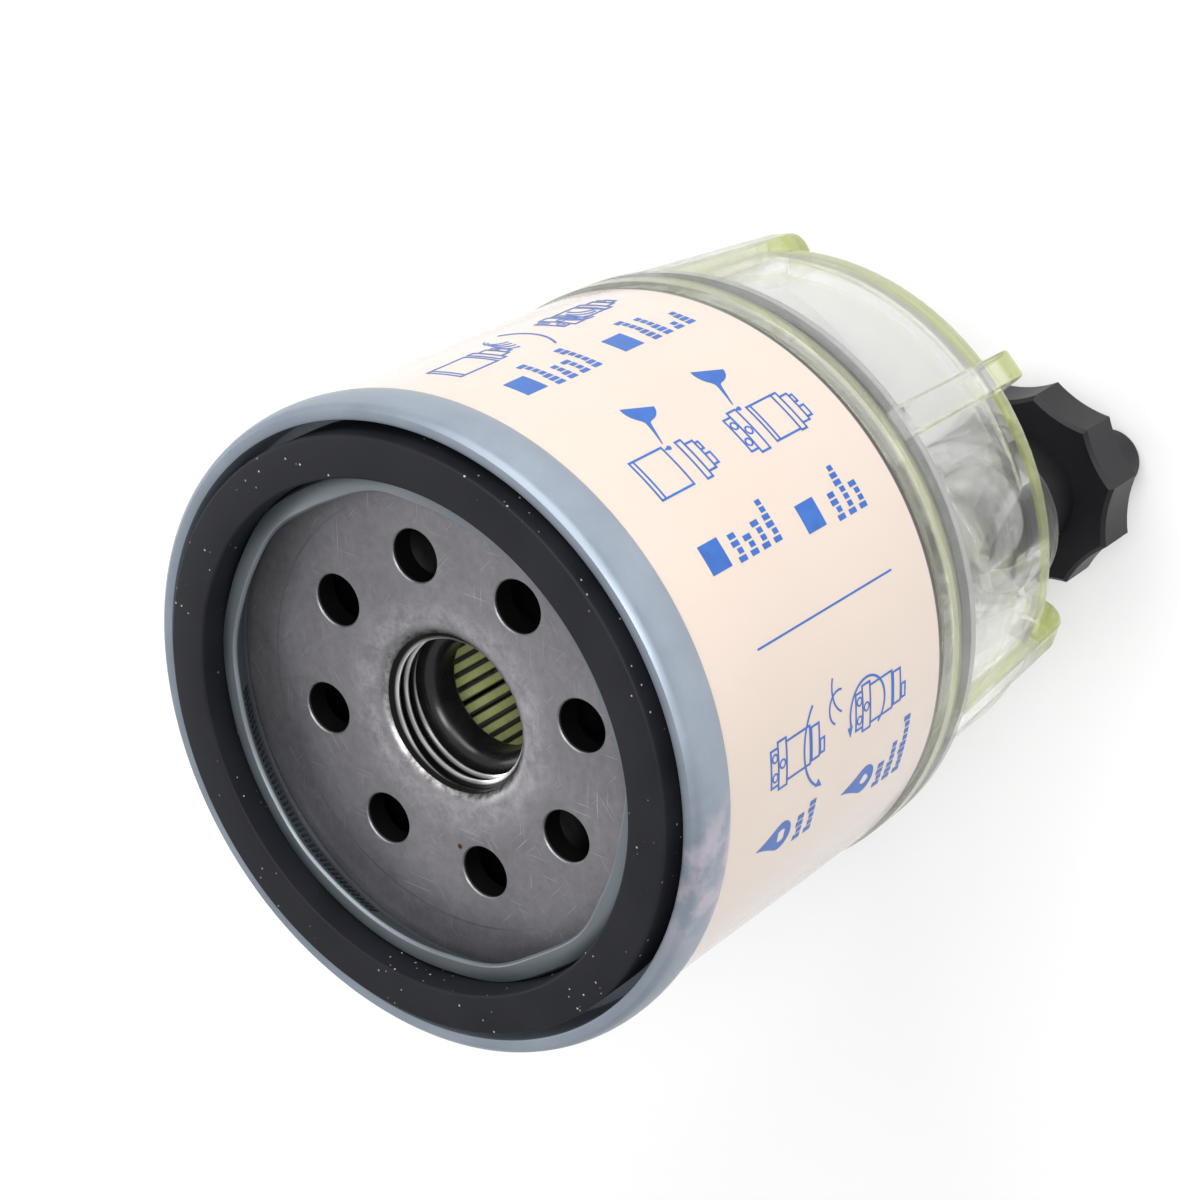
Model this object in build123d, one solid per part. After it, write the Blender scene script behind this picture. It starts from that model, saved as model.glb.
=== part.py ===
from build123d import *
from math import atan, cos, degrees, pi, radians, sin
import os

# Fuel water separator, in millimetres: a painted can with a pleated element, and a clear
# bowl with a drain valve that screws into its lower end.
# Origin: centre of the head thread at the base plate's outer face. +Z points out of the
# thread, towards the filter head. The drain valve lies on the -Y side.

# Running and seating clearances
RUN_GAP = 0.08          # radial, screwed parts that turn in each other
FIT_GAP = 0.05          # pieces of one body that sit in each other
SEAL_GAP = 0.10         # rubber against what it seals

# Can. Its radius drives the lid, the element and the bowl.
CAN_R = 38.17
CAN_T = 0.7
CAN_FOOT_Z = -43.7
CAN_CURL_W = 3.0        # width of the turned-in lower end
CAN_CURL_ROUND = 0.6
CAN_BORE_R = CAN_R - CAN_T

# Base plate: thick pressing with a drawn collar for the head thread
THREAD_R = 9.525        # major radius of the 3/4 inch head thread
PLATE_GAP = 0.57        # from the plate's edge to the can
PLATE_T = 3.0
COLLAR_WALL = 2.875
COLLAR_DROP = 2.3       # from the plate's inner face
COLLAR_ROUND = 0.6
INLET_COUNT = 8
INLET_R = 3.18
INLET_GAP = 3.52        # from the collar to a hole's near side
MOUTH_CHAMFER = 0.35
PLATE_R = CAN_BORE_R - PLATE_GAP
COLLAR_R = THREAD_R + COLLAR_WALL
COLLAR_END_Z = -PLATE_T - COLLAR_DROP
INLET_CIRCLE_R = COLLAR_R + INLET_GAP + INLET_R

# Lid retainer: zinc coated sheet with the gasket groove, the lip and the rolled seam
SHEET_T = 0.6
SEAM_WALL_GAP = 0.17    # from the groove's outer wall to the can
SEAM_FOOT_Z = 0.5
SEAM_H = 6.25
SEAM_BULGE = 0.88       # from the can's outside to the seam's fullest radius
SEAM_ROUND = 0.55
LIP_LEAN = 2.9          # from the lip's foot in to its crest
LIP_SHORT = 1.3         # from the seam's top down to the lip's crest
LIP_CURL_H = 1.15       # from the crest down to the curl's end
SEAM_R = CAN_R + SEAM_BULGE
SEAM_TOP_Z = SEAM_FOOT_Z + SEAM_H
GROOVE_R = CAN_BORE_R - SEAM_WALL_GAP - SHEET_T
LIP_CREST_Z = SEAM_TOP_Z - LIP_SHORT
LIP_CURL_Z = LIP_CREST_Z - LIP_CURL_H

# Head gasket
GASKET_RISE = 1.3       # above the seam
GASKET_GAP = 1.2        # to the groove's outer wall
GASKET_W = 4.9
GASKET_FOOT_CUT = 1.4   # the bore is wider by this at its foot
GASKET_ROUND = 0.35
GASKET_TOP_Z = SEAM_TOP_Z + GASKET_RISE
GASKET_R = GROOVE_R - GASKET_GAP
GASKET_BORE_R = GASKET_R - GASKET_W
GASKET_FOOT_BORE_R = GASKET_BORE_R + GASKET_FOOT_CUT
GASKET_NECK_Z = LIP_CURL_Z - SEAL_GAP
LIP_FOOT_R = GASKET_FOOT_BORE_R - SEAL_GAP - SHEET_T
LIP_CREST_R = LIP_FOOT_R - LIP_LEAN

# Element: grommet, end caps and pleats
CAP_T = 0.6
CAP_GAP = 4.27          # from an end cap's edge to the can
CAP_SKIRT = 4.0
GROMMET_STEP = 0.4      # the collar is larger than the grommet by this
GROMMET_TOP_T = 2.7
GROMMET_MOUTH_STEP = 0.685
GROMMET_TAPER = 1.84
GROMMET_MOUTH_L = 2.35
GROMMET_WAIST = 2.0
GROMMET_FOOT_T = 1.2
PLEAT_COUNT = 45
PLEAT_GAP = 0.6         # from the folds to the end caps' skirts
PAPER_T = 0.5
PLEAT_SLOT = 0.19       # half the slot between two pleats at the bore
PLEAT_TIP = 0.9         # half the hollow inside an outer fold
CLIP_T = 0.35
CLIP_DEPTH = 4.0
CAP_R = CAN_BORE_R - CAP_GAP
CAP_TOP_Z = COLLAR_END_Z - GROMMET_TOP_T
GROMMET_R = COLLAR_R - GROMMET_STEP
GROMMET_MOUTH_R = THREAD_R - GROMMET_MOUTH_STEP
GROMMET_BORE_R = GROMMET_MOUTH_R - GROMMET_TAPER
GROMMET_WAIST_R = GROMMET_R - GROMMET_WAIST
PLEAT_IN_R = GROMMET_R
PLEAT_OUT_R = CAP_R - CAP_T - PLEAT_GAP
PLEAT_TOP_Z = CAP_TOP_Z - CAP_T

# Spring, support plate and thread ring in the can's lower end
RING_H = 8.5
RING_CHAMFER = 0.5
SUPPORT_T = 0.8
SUPPORT_PORT_COUNT = 6
SUPPORT_PORT_R = 5.0
SUPPORT_BRIDGE = 5.5    # from the middle hole to the ports
SUPPORT_BORE_R = 6.0
SPRING_H = 5.5
SPRING_WIRE_R = 0.8
SPRING_INSET = 7.2      # from the lower cap's edge to the widest turn
SPRING_CONE = 11.0      # from the widest turn's radius to the narrowest
SPRING_TURNS = 2.5
SUPPORT_PORT_CIRCLE_R = SUPPORT_BORE_R + SUPPORT_BRIDGE + SUPPORT_PORT_R
SPRING_FOOT_R = CAP_R - SPRING_INSET
RING_FOOT_Z = CAN_FOOT_Z + CAN_T
RING_TOP_Z = RING_FOOT_Z + RING_H
SUPPORT_TOP_Z = RING_TOP_Z + SUPPORT_T
LOWER_CAP_Z = SUPPORT_TOP_Z + SPRING_H
PLEAT_FOOT_Z = LOWER_CAP_Z + CAP_T

# Bowl: neck, stepped flange and wall
NECK_STEP = 3.97        # from the can's bore in to the neck
NECK_T = 3.5
NECK_SHORT = 1.5        # from the ring's top down to the neck's
NECK_CHAMFER = 0.8
FLANGE_TOP_GAP = 0.3    # between the can's end and the flange
FLANGE_OVER = 0.33      # from the can's outside out to the flange
FLANGE_CHAMFER_H = 1.0
FLANGE_CHAMFER_W = 0.5
BAND_H = 2.4
GROOVE_H = 2.2
GROOVE_DEPTH = 1.1
LIP_H = 1.1
LIP_STEP = 0.1          # the flange's lower lip is smaller by this
O_RING_WIRE_R = 1.4
BOWL_STEP = 2.5         # from the flange in to the wall
BOWL_DRAFT = 1.1
BOWL_H = 25.55
BOWL_WALL = 2.5
BOWL_FLOOR_T = 2.5
BOWL_ROUND = 1.8
BOWL_FLOOR_ROUND = 3.0
NECK_R = CAN_BORE_R - NECK_STEP
NECK_BORE_R = NECK_R - NECK_T
NECK_TOP_Z = RING_TOP_Z - NECK_SHORT
FLANGE_R = CAN_R + FLANGE_OVER
LIP_R = FLANGE_R - LIP_STEP
FLANGE_TOP_Z = CAN_FOOT_Z - FLANGE_TOP_GAP
BAND_TOP_Z = FLANGE_TOP_Z - FLANGE_CHAMFER_H
BAND_FOOT_Z = BAND_TOP_Z - BAND_H
LIP_TOP_Z = BAND_FOOT_Z - GROOVE_H
FLANGE_FOOT_Z = LIP_TOP_Z - LIP_H
BOWL_TOP_R = FLANGE_R - BOWL_STEP
BOWL_FOOT_R = BOWL_TOP_R - BOWL_DRAFT
BOWL_FOOT_Z = FLANGE_FOOT_Z - BOWL_H
BOWL_FLOOR_Z = BOWL_FOOT_Z + BOWL_FLOOR_T
O_RING_R = NECK_R + SEAL_GAP + O_RING_WIRE_R
O_RING_Z = CAN_FOOT_Z - SEAL_GAP - O_RING_WIRE_R
RECESS_R = O_RING_R + O_RING_WIRE_R + SEAL_GAP
RECESS_Z = O_RING_Z - O_RING_WIRE_R - SEAL_GAP

# Ribs of the bowl
RIB_COUNT = 6
RIB_W = 3.9
RIB_STEP = 0.05         # the flange is larger than a rib's top by this
RIB_LEAN = 2.6          # from a rib's top in to its foot
RIB_TIP_DROP = 5.6      # below the bowl's foot
RIB_TIP_W = 6.0
RIB_EDGE_ROUND = 0.5
RIB_TOP_R = FLANGE_R - RIB_STEP
RIB_FOOT_R = RIB_TOP_R - RIB_LEAN
RIB_TIP_IN_R = RIB_FOOT_R - RIB_TIP_W
RIB_TIP_Z = BOWL_FOOT_Z - RIB_TIP_DROP
RIB_TIP_ROUND = 0.7 * RIB_TIP_W
RIB_TIP_IN_ROUND = 0.25 * RIB_TIP_W

# Drain boss of the bowl
BOSS_R = 11.3
BOSS_TAPER = 1.0
BOSS_INSET = 0.7        # from the bowl's outside to the boss
BOSS_DROP = 3.75        # below the bowl's foot
BOSS_L = 20.0
BOSS_ROUND = 1.6
SEAT_FOOT_L = 10.0      # depth of the threaded bore
SEAT_L = 7.0
SEAT_STEP = 1.5         # the threaded bore is larger than the seat by this
VENT_R = 1.2
PORT_W = 5.0            # slot that lets water into the boss at the bowl's floor
PORT_H = 3.0
DRAIN_TURN = radians(-95.6)     # the drain's side of the bowl, from +X
DRAIN_OFFSET = BOWL_FOOT_R - BOSS_INSET - BOSS_R
DRAIN_AXIS = (DRAIN_OFFSET * cos(DRAIN_TURN), DRAIN_OFFSET * sin(DRAIN_TURN))
BOSS_TOP_R = BOSS_R - BOSS_TAPER
BOSS_FOOT_Z = BOWL_FOOT_Z - BOSS_DROP
BOSS_TOP_Z = BOSS_FOOT_Z + BOSS_L
SEAT_FOOT_Z = BOSS_FOOT_Z + SEAT_FOOT_L
SEAT_TOP_Z = SEAT_FOOT_Z + SEAT_L

# Drain valve
STEM_THREAD_R = 6.42
STEM_THREAD_L = 5.7
STEM_TOP_GAP = 1.0      # from the shank's end to the seat's
SHANK_STEP = 1.0        # the seat is larger than the shank by this
STEM_NECK_R = 7.6
STEM_NECK_L = 9.4
DRAIN_RING_WIRE_R = 0.85
DRAIN_RING_L = 1.5      # from the seat's foot up to the ring
DRAIN_BORE_R = 2.0
DRAIN_CROSS_R = 1.3
DRAIN_CROSS_L = 2.5     # from the ring up to the cross hole
KNOB_T = 7.0
KNOB_R = 13.4
KNOB_LOBES = 10
KNOB_SCALLOP = 1.2      # from a tip's radius to a scallop's
KNOB_PHASE = 18.6       # degrees, first tip
KNOB_EDGE = 0.5
HUB_R = 8.0
HUB_L = 3.0
HUB_ROUND = 1.0
OUTLET_R = 4.2          # hose nipple, set off the valve's axis
OUTLET_L = 10.5
OUTLET_ROUND = 0.8
OUTLET_SHIFT = 3.0
OUTLET_TURN = radians(-127)
SEAT_R = STEM_THREAD_R + RUN_GAP - SEAT_STEP
SHANK_R = SEAT_R - SHANK_STEP
STEM_TOP_Z = SEAT_TOP_Z - STEM_TOP_GAP
STEM_NECK_Z = BOSS_FOOT_Z - SEAL_GAP
STEM_THREAD_TOP_Z = STEM_NECK_Z + STEM_THREAD_L
DRAIN_RING_Z = SEAT_FOOT_Z + DRAIN_RING_L
DRAIN_RING_R = SEAT_R - SEAL_GAP / 2 - DRAIN_RING_WIRE_R
DRAIN_CROSS_Z = DRAIN_RING_Z + DRAIN_CROSS_L
KNOB_TOP_Z = STEM_NECK_Z - STEM_NECK_L
KNOB_FOOT_Z = KNOB_TOP_Z - KNOB_T
HUB_FOOT_Z = KNOB_FOOT_Z - HUB_L
OUTLET_FOOT_Z = HUB_FOOT_Z - OUTLET_L
OUTLET_AXIS = (OUTLET_SHIFT * cos(OUTLET_TURN), OUTLET_SHIFT * sin(OUTLET_TURN))

# Sensor port and its plug, opposite the drain
PLUG_BOSS_R = 9.0
PLUG_BOSS_INSET = 5.9   # from the bowl's outside to the boss
PLUG_BOSS_L = 2.8       # below the bowl's foot
PLUG_THREAD_R = 5.4
PLUG_SHORT = 0.4        # from the floor's upper side down to the thread's end
PLUG_HEX = 12.4         # across the flats
PLUG_HEAD_T = 3.2
PLUG_FLANGE_R = 7.2
PLUG_FLANGE_T = 1.0
PLUG_RING_WIRE_R = 0.8
PLUG_OFFSET = BOWL_FOOT_R - PLUG_BOSS_INSET - PLUG_BOSS_R
PLUG_AXIS = (0, PLUG_OFFSET)
PLUG_BOSS_Z = BOWL_FOOT_Z - PLUG_BOSS_L
PLUG_SEAT_Z = PLUG_BOSS_Z - 2 * PLUG_RING_WIRE_R


def turned(points, rounds=()):
    """Revolve a closed (radius, height) outline about Z. rounds lists (corner index, radius)."""
    with BuildPart() as body:
        with BuildSketch(Plane.XZ) as section:
            with BuildLine():
                Polyline(*points, close=True)
            make_face()
            for index, radius in rounds:
                fillet(corner(section, points[index]), radius)
        revolve(axis=Axis.Z)
    return body.part


def corner(section, point):
    """The vertex of a sketch that lies nearest to a (radius, height) point."""
    return min(section.vertices(), key=lambda v: (v.X - point[0]) ** 2 + (v.Y - point[1]) ** 2)


def tube(outer, inner, low, high):
    """A plain ring between two radii and two heights."""
    return turned([(inner, low), (outer, low), (outer, high), (inner, high)])


def torus_at(major, minor, height, axis=(0, 0)):
    return Pos(*axis, height) * Torus(major, minor)


def upright(axis, radius, low, high):
    """A cylinder about a vertical axis between two heights."""
    return Pos(*axis, low) * Cylinder(radius, high - low, align=(Align.CENTER, Align.CENTER, Align.MIN))


def can_shell():
    curl_r = CAN_R - CAN_CURL_W
    top = SEAM_TOP_Z - SHEET_T - SEAL_GAP
    outline = [
        (CAN_BORE_R, RING_FOOT_Z), (curl_r, RING_FOOT_Z), (curl_r, CAN_FOOT_Z),
        (CAN_R, CAN_FOOT_Z), (CAN_R, top), (CAN_BORE_R, top),
    ]
    return turned(outline, [(3, CAN_CURL_ROUND)])


def lid_retainer():
    """Groove, lip and seam as one folded sheet. The can's edge stands in the seam's pocket."""
    wall_r = GROOVE_R + SHEET_T
    pocket_r = CAN_R + SEAL_GAP
    pocket_top = SEAM_TOP_Z - SHEET_T
    curl_end_r = GASKET_BORE_R - SEAL_GAP
    with BuildPart() as body:
        with BuildSketch(Plane.XZ) as section:
            with BuildLine():
                Polyline((LIP_FOOT_R, 0), (wall_r, 0), (wall_r, pocket_top), (pocket_r, pocket_top),
                         (pocket_r, SEAM_FOOT_Z), (pocket_r + SHEET_T / 2, SEAM_FOOT_Z))
                seam_mid_z = (SEAM_FOOT_Z + SEAM_TOP_Z) / 2
                ThreePointArc((pocket_r + SHEET_T / 2, SEAM_FOOT_Z), (SEAM_R, seam_mid_z),
                              (CAN_R, SEAM_TOP_Z))
                Polyline((CAN_R, SEAM_TOP_Z), (GROOVE_R, SEAM_TOP_Z), (GROOVE_R, SHEET_T),
                         (LIP_FOOT_R + SHEET_T, SHEET_T), (LIP_CREST_R + 2 * SHEET_T, LIP_CURL_Z),
                         (curl_end_r, LIP_CURL_Z - SHEET_T), (curl_end_r, LIP_CURL_Z))
                Spline((curl_end_r, LIP_CURL_Z), (LIP_CREST_R + 1.2 * SHEET_T, LIP_CREST_Z),
                       (LIP_CREST_R, LIP_CREST_Z - SHEET_T),
                       tangents=[(-1, 1), (LIP_FOOT_R - LIP_CREST_R, -LIP_CREST_Z)])
                Line((LIP_CREST_R, LIP_CREST_Z - SHEET_T), (LIP_FOOT_R, 0))
            make_face()
            fillet(corner(section, (GROOVE_R, SEAM_TOP_Z)), SEAM_ROUND)
        revolve(axis=Axis.Z)
    return body.part


def base_plate():
    outline = [
        (THREAD_R, -MOUTH_CHAMFER), (THREAD_R + MOUTH_CHAMFER, 0), (PLATE_R, 0), (PLATE_R, -PLATE_T),
        (COLLAR_R, -PLATE_T), (COLLAR_R, COLLAR_END_Z), (THREAD_R, COLLAR_END_Z),
    ]
    plate = turned(outline, [(4, COLLAR_ROUND), (5, COLLAR_ROUND)])
    inlets = PolarLocations(INLET_CIRCLE_R, INLET_COUNT) * Cylinder(INLET_R, 3 * PLATE_T)
    return plate - inlets


def head_gasket():
    foot = SHEET_T
    outline = [
        (GASKET_FOOT_BORE_R, foot), (GASKET_R, foot), (GASKET_R, GASKET_TOP_Z),
        (GASKET_BORE_R, GASKET_TOP_Z), (GASKET_BORE_R, GASKET_NECK_Z),
    ]
    return turned(outline, [(2, GASKET_ROUND), (3, GASKET_ROUND)])


def centre_grommet():
    """Rubber ring that seals the element's upper cap to the collar's end."""
    foot = PLEAT_TOP_Z - GROMMET_FOOT_T
    outline = [
        (GROMMET_MOUTH_R, COLLAR_END_Z), (GROMMET_R, COLLAR_END_Z), (GROMMET_R, CAP_TOP_Z),
        (GROMMET_WAIST_R, CAP_TOP_Z), (GROMMET_WAIST_R, PLEAT_TOP_Z),
        (GROMMET_WAIST_R + CAP_T, foot), (GROMMET_BORE_R, foot),
        (GROMMET_BORE_R, COLLAR_END_Z - GROMMET_MOUTH_L),
    ]
    return turned(outline, [(1, CAP_T)])


def upper_end_cap():
    bore = GROMMET_WAIST_R + FIT_GAP
    outline = [
        (bore, PLEAT_TOP_Z), (bore, CAP_TOP_Z), (CAP_R, CAP_TOP_Z),
        (CAP_R, CAP_TOP_Z - CAP_SKIRT), (CAP_R - CAP_T, CAP_TOP_Z - CAP_SKIRT),
        (CAP_R - CAP_T, PLEAT_TOP_Z),
    ]
    return turned(outline, [(2, CAP_T)])


def lower_end_cap():
    outline = [
        (0, LOWER_CAP_Z), (CAP_R, LOWER_CAP_Z), (CAP_R, LOWER_CAP_Z + CAP_SKIRT),
        (CAP_R - CAP_T, LOWER_CAP_Z + CAP_SKIRT), (CAP_R - CAP_T, PLEAT_FOOT_Z), (0, PLEAT_FOOT_Z),
    ]
    return turned(outline, [(1, CAP_T)])


def pleat_outline(tip_r, tip_half, root_r, root_half):
    """One side of the folded paper: flat tips and roots joined by straight flanks."""
    points = []
    for k in range(PLEAT_COUNT):
        turn = 2 * pi * k / PLEAT_COUNT
        for radius, offset in ((root_r, -root_half), (tip_r, -tip_half), (tip_r, tip_half),
                               (root_r, root_half)):
            points.append((radius * cos(turn) - offset * sin(turn),
                           radius * sin(turn) + offset * cos(turn)))
    return Polyline(*points, close=True)


def pleated_media():
    height = PLEAT_TOP_Z - PLEAT_FOOT_Z
    outer = make_face(pleat_outline(PLEAT_OUT_R, PLEAT_TIP + PAPER_T, PLEAT_IN_R + PAPER_T,
                                    PLEAT_SLOT + PAPER_T))
    inner = make_face(pleat_outline(PLEAT_OUT_R - PAPER_T, PLEAT_TIP, PLEAT_IN_R, PLEAT_SLOT))
    return Pos(0, 0, PLEAT_FOOT_Z) * extrude(outer - inner, amount=height)


def pleat_clip():
    """Folded strip that closes the paper's two ends over one outer fold."""
    half = PLEAT_TIP + PAPER_T + FIT_GAP
    height = PLEAT_TOP_Z - PLEAT_FOOT_Z - 2 * CAP_SKIRT
    tip = PLEAT_OUT_R + FIT_GAP
    outward = (Align.MAX, Align.CENTER, Align.MIN)
    strip = Box(CLIP_DEPTH + CLIP_T, 2 * (half + CLIP_T), height, align=outward)
    hollow = Box(CLIP_DEPTH, 2 * half, height, align=outward)
    return Pos(tip, 0, PLEAT_FOOT_Z + CAP_SKIRT) * (Pos(CLIP_T, 0, 0) * strip - hollow)


def element_spring():
    """Conical wire spring that holds the element up against the collar."""
    rise = SPRING_H - 2 * SPRING_WIRE_R - 2 * FIT_GAP
    slope = SPRING_CONE / rise
    path = Helix(pitch=rise / SPRING_TURNS, height=rise, radius=SPRING_FOOT_R,
                 cone_angle=-degrees(atan(slope)))
    wire = sweep(Plane(path @ 0, z_dir=path % 0) * Circle(SPRING_WIRE_R), path=path)
    return Pos(0, 0, SUPPORT_TOP_Z + FIT_GAP + SPRING_WIRE_R) * wire


def support_plate():
    plate = tube(CAN_BORE_R - FIT_GAP, SUPPORT_BORE_R, RING_TOP_Z, SUPPORT_TOP_Z)
    port = Pos(0, 0, RING_TOP_Z) * Cylinder(SUPPORT_PORT_R, 3 * SUPPORT_T)
    return plate - PolarLocations(SUPPORT_PORT_CIRCLE_R, SUPPORT_PORT_COUNT) * port


def bowl_thread_ring():
    outer = CAN_BORE_R - FIT_GAP
    inner = NECK_R + RUN_GAP
    outline = [(inner, RING_FOOT_Z), (outer, RING_FOOT_Z), (outer, RING_TOP_Z), (inner, RING_TOP_Z)]
    with BuildPart() as body:
        with BuildSketch(Plane.XZ) as section:
            with BuildLine():
                Polyline(*outline, close=True)
            make_face()
            chamfer([corner(section, outline[0]), corner(section, outline[3])], RING_CHAMFER)
        revolve(axis=Axis.Z)
    return body.part


def bowl_o_ring():
    return torus_at(O_RING_R, O_RING_WIRE_R, O_RING_Z)


def bowl_body():
    """Neck, stepped flange, wall and floor, turned in one profile."""
    groove_r = FLANGE_R - GROOVE_DEPTH
    shoulder_z = FLANGE_FOOT_Z + (NECK_BORE_R - BOWL_TOP_R + BOWL_WALL)
    outline = [
        (0, BOWL_FOOT_Z), (BOWL_FOOT_R, BOWL_FOOT_Z), (BOWL_TOP_R, FLANGE_FOOT_Z),
        (LIP_R, FLANGE_FOOT_Z), (LIP_R, LIP_TOP_Z), (groove_r, LIP_TOP_Z), (groove_r, BAND_FOOT_Z),
        (FLANGE_R, BAND_FOOT_Z), (FLANGE_R, BAND_TOP_Z), (FLANGE_R - FLANGE_CHAMFER_W, FLANGE_TOP_Z),
        (RECESS_R, FLANGE_TOP_Z), (RECESS_R, RECESS_Z), (NECK_R, RECESS_Z),
        (NECK_R, NECK_TOP_Z - NECK_CHAMFER), (NECK_R - NECK_CHAMFER, NECK_TOP_Z),
        (NECK_BORE_R, NECK_TOP_Z), (NECK_BORE_R, FLANGE_FOOT_Z),
        (BOWL_TOP_R - BOWL_WALL, shoulder_z), (BOWL_FOOT_R - BOWL_WALL, BOWL_FLOOR_Z),
        (0, BOWL_FLOOR_Z),
    ]
    return turned(outline, [(1, BOWL_ROUND), (18, BOWL_FLOOR_ROUND)])


def bowl_rib():
    """Straight rib from the flange to a rounded tip below the bowl's foot."""
    root_r = BOWL_FOOT_R - BOWL_WALL / 2
    floor_mid = BOWL_FOOT_Z + BOWL_FLOOR_T / 2
    outline = [
        (root_r, FLANGE_FOOT_Z + LIP_H), (RIB_TOP_R, FLANGE_FOOT_Z + LIP_H / 2),
        (RIB_FOOT_R, RIB_TIP_Z), (RIB_TIP_IN_R, RIB_TIP_Z), (RIB_TIP_IN_R, floor_mid),
        (root_r, floor_mid),
    ]
    with BuildPart() as body:
        with BuildSketch(Plane.XZ) as section:
            with BuildLine():
                Polyline(*outline, close=True)
            make_face()
            fillet(corner(section, outline[2]), RIB_TIP_ROUND)
            fillet(corner(section, outline[3]), RIB_TIP_IN_ROUND)
        extrude(amount=RIB_W / 2, both=True)
    rib = body.part
    sides = rib.faces().filter_by(Axis.Y)
    edges = [edge for face in sides for edge in face.edges() if edge.center().X > root_r]
    return fillet(edges, RIB_EDGE_ROUND)


def drain_boss():
    outline = [
        (0, BOSS_FOOT_Z), (BOSS_R, BOSS_FOOT_Z), (BOSS_R, BOWL_FOOT_Z), (BOSS_TOP_R, BOSS_TOP_Z),
        (0, BOSS_TOP_Z),
    ]
    return Pos(*DRAIN_AXIS, 0) * turned(outline, [(1, BOSS_ROUND), (3, BOSS_ROUND)])


def drain_bores():
    """Thread, seat and vent of the drain boss, each one drilled up from its foot."""
    depths = (
        (STEM_THREAD_R + RUN_GAP, SEAT_FOOT_Z), (SEAT_R, SEAT_TOP_Z),
        (VENT_R, BOSS_TOP_Z + BOSS_ROUND),
    )
    return [upright(DRAIN_AXIS, radius, BOSS_FOOT_Z, top) for radius, top in depths]


def bowl():
    """One clear moulding: the turned body, its ribs and the two bosses."""
    ribs = PolarLocations(0, RIB_COUNT) * bowl_rib()
    plug_boss = upright(PLUG_AXIS, PLUG_BOSS_R, PLUG_BOSS_Z, BOWL_FLOOR_Z - BOWL_FLOOR_T / 2)
    plug_bore = upright(PLUG_AXIS, PLUG_THREAD_R + FIT_GAP, PLUG_BOSS_Z, BOWL_FLOOR_Z + BOWL_FLOOR_T)
    port = Box(2 * (BOSS_R - SEAT_R), PORT_W, PORT_H, align=(Align.CENTER, Align.CENTER, Align.MIN))
    port = Rot(0, 0, degrees(DRAIN_TURN)) * Pos(DRAIN_OFFSET - BOSS_TOP_R, 0, BOWL_FLOOR_Z) * port
    solid = bowl_body() + drain_boss() + plug_boss + ribs
    for bore in drain_bores():
        solid -= bore
    return solid - plug_bore - port


def knob_outline():
    """Star of shallow scallops between sharp tips, one arc for each scallop."""
    step = 2 * pi / KNOB_LOBES
    middle = KNOB_R - KNOB_SCALLOP
    for k in range(KNOB_LOBES):
        turn = radians(KNOB_PHASE) + k * step
        ends = (polar(KNOB_R, turn), polar(KNOB_R, turn + step))
        ThreePointArc(ends[0], polar(middle, turn + step / 2), ends[1])


def polar(radius, turn):
    return (radius * cos(turn), radius * sin(turn))


def stem():
    """Shank, thread, neck and hub of the valve, turned in one profile."""
    ring_half = DRAIN_RING_WIRE_R + SEAL_GAP
    groove_r = DRAIN_RING_R - DRAIN_RING_WIRE_R - SEAL_GAP / 2
    outline = [
        (0, STEM_TOP_Z), (SHANK_R, STEM_TOP_Z), (SHANK_R, DRAIN_RING_Z + ring_half),
        (groove_r, DRAIN_RING_Z + ring_half), (groove_r, DRAIN_RING_Z - ring_half),
        (SHANK_R, DRAIN_RING_Z - ring_half), (SHANK_R, STEM_THREAD_TOP_Z),
        (STEM_THREAD_R, STEM_THREAD_TOP_Z), (STEM_THREAD_R, STEM_NECK_Z),
        (STEM_NECK_R, STEM_NECK_Z), (STEM_NECK_R, KNOB_TOP_Z), (HUB_R, KNOB_TOP_Z),
        (HUB_R, HUB_FOOT_Z), (0, HUB_FOOT_Z),
    ]
    return turned(outline, [(12, HUB_ROUND)])


def outlet():
    """Hose nipple of the valve, beside the axis."""
    nipple = upright(OUTLET_AXIS, OUTLET_R, OUTLET_FOOT_Z, HUB_FOOT_Z + HUB_L / 2)
    return fillet(nipple.edges().sort_by(Axis.Z)[0], OUTLET_ROUND)


def passages():
    """The outlet's bore, the stem's bore that it opens into in the knob, and the cross hole."""
    return (
        upright(OUTLET_AXIS, DRAIN_BORE_R, OUTLET_FOOT_Z, KNOB_FOOT_Z + DRAIN_BORE_R),
        upright((0, 0), DRAIN_BORE_R, HUB_FOOT_Z + HUB_L / 2, DRAIN_CROSS_Z + DRAIN_CROSS_R),
        Pos(0, 0, DRAIN_CROSS_Z) * Rot(0, 90, 0) * Cylinder(DRAIN_CROSS_R, 3 * SHANK_R),
    )


def drain_valve():
    """Star knob, threaded stem and outlet in one moulding, with the water passage."""
    with BuildPart() as star:
        with BuildSketch(Plane.XY.offset(KNOB_FOOT_Z)):
            with BuildLine():
                knob_outline()
            make_face()
        extrude(amount=KNOB_T)
        ends = star.faces().sort_by(Axis.Z)
        chamfer(ends[0].edges() + ends[-1].edges(), KNOB_EDGE)
    solid = star.part + stem() + outlet()
    for passage in passages():
        solid -= passage
    return Pos(*DRAIN_AXIS, 0) * solid


def drain_o_ring():
    return torus_at(DRAIN_RING_R, DRAIN_RING_WIRE_R, DRAIN_RING_Z, DRAIN_AXIS)


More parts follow.
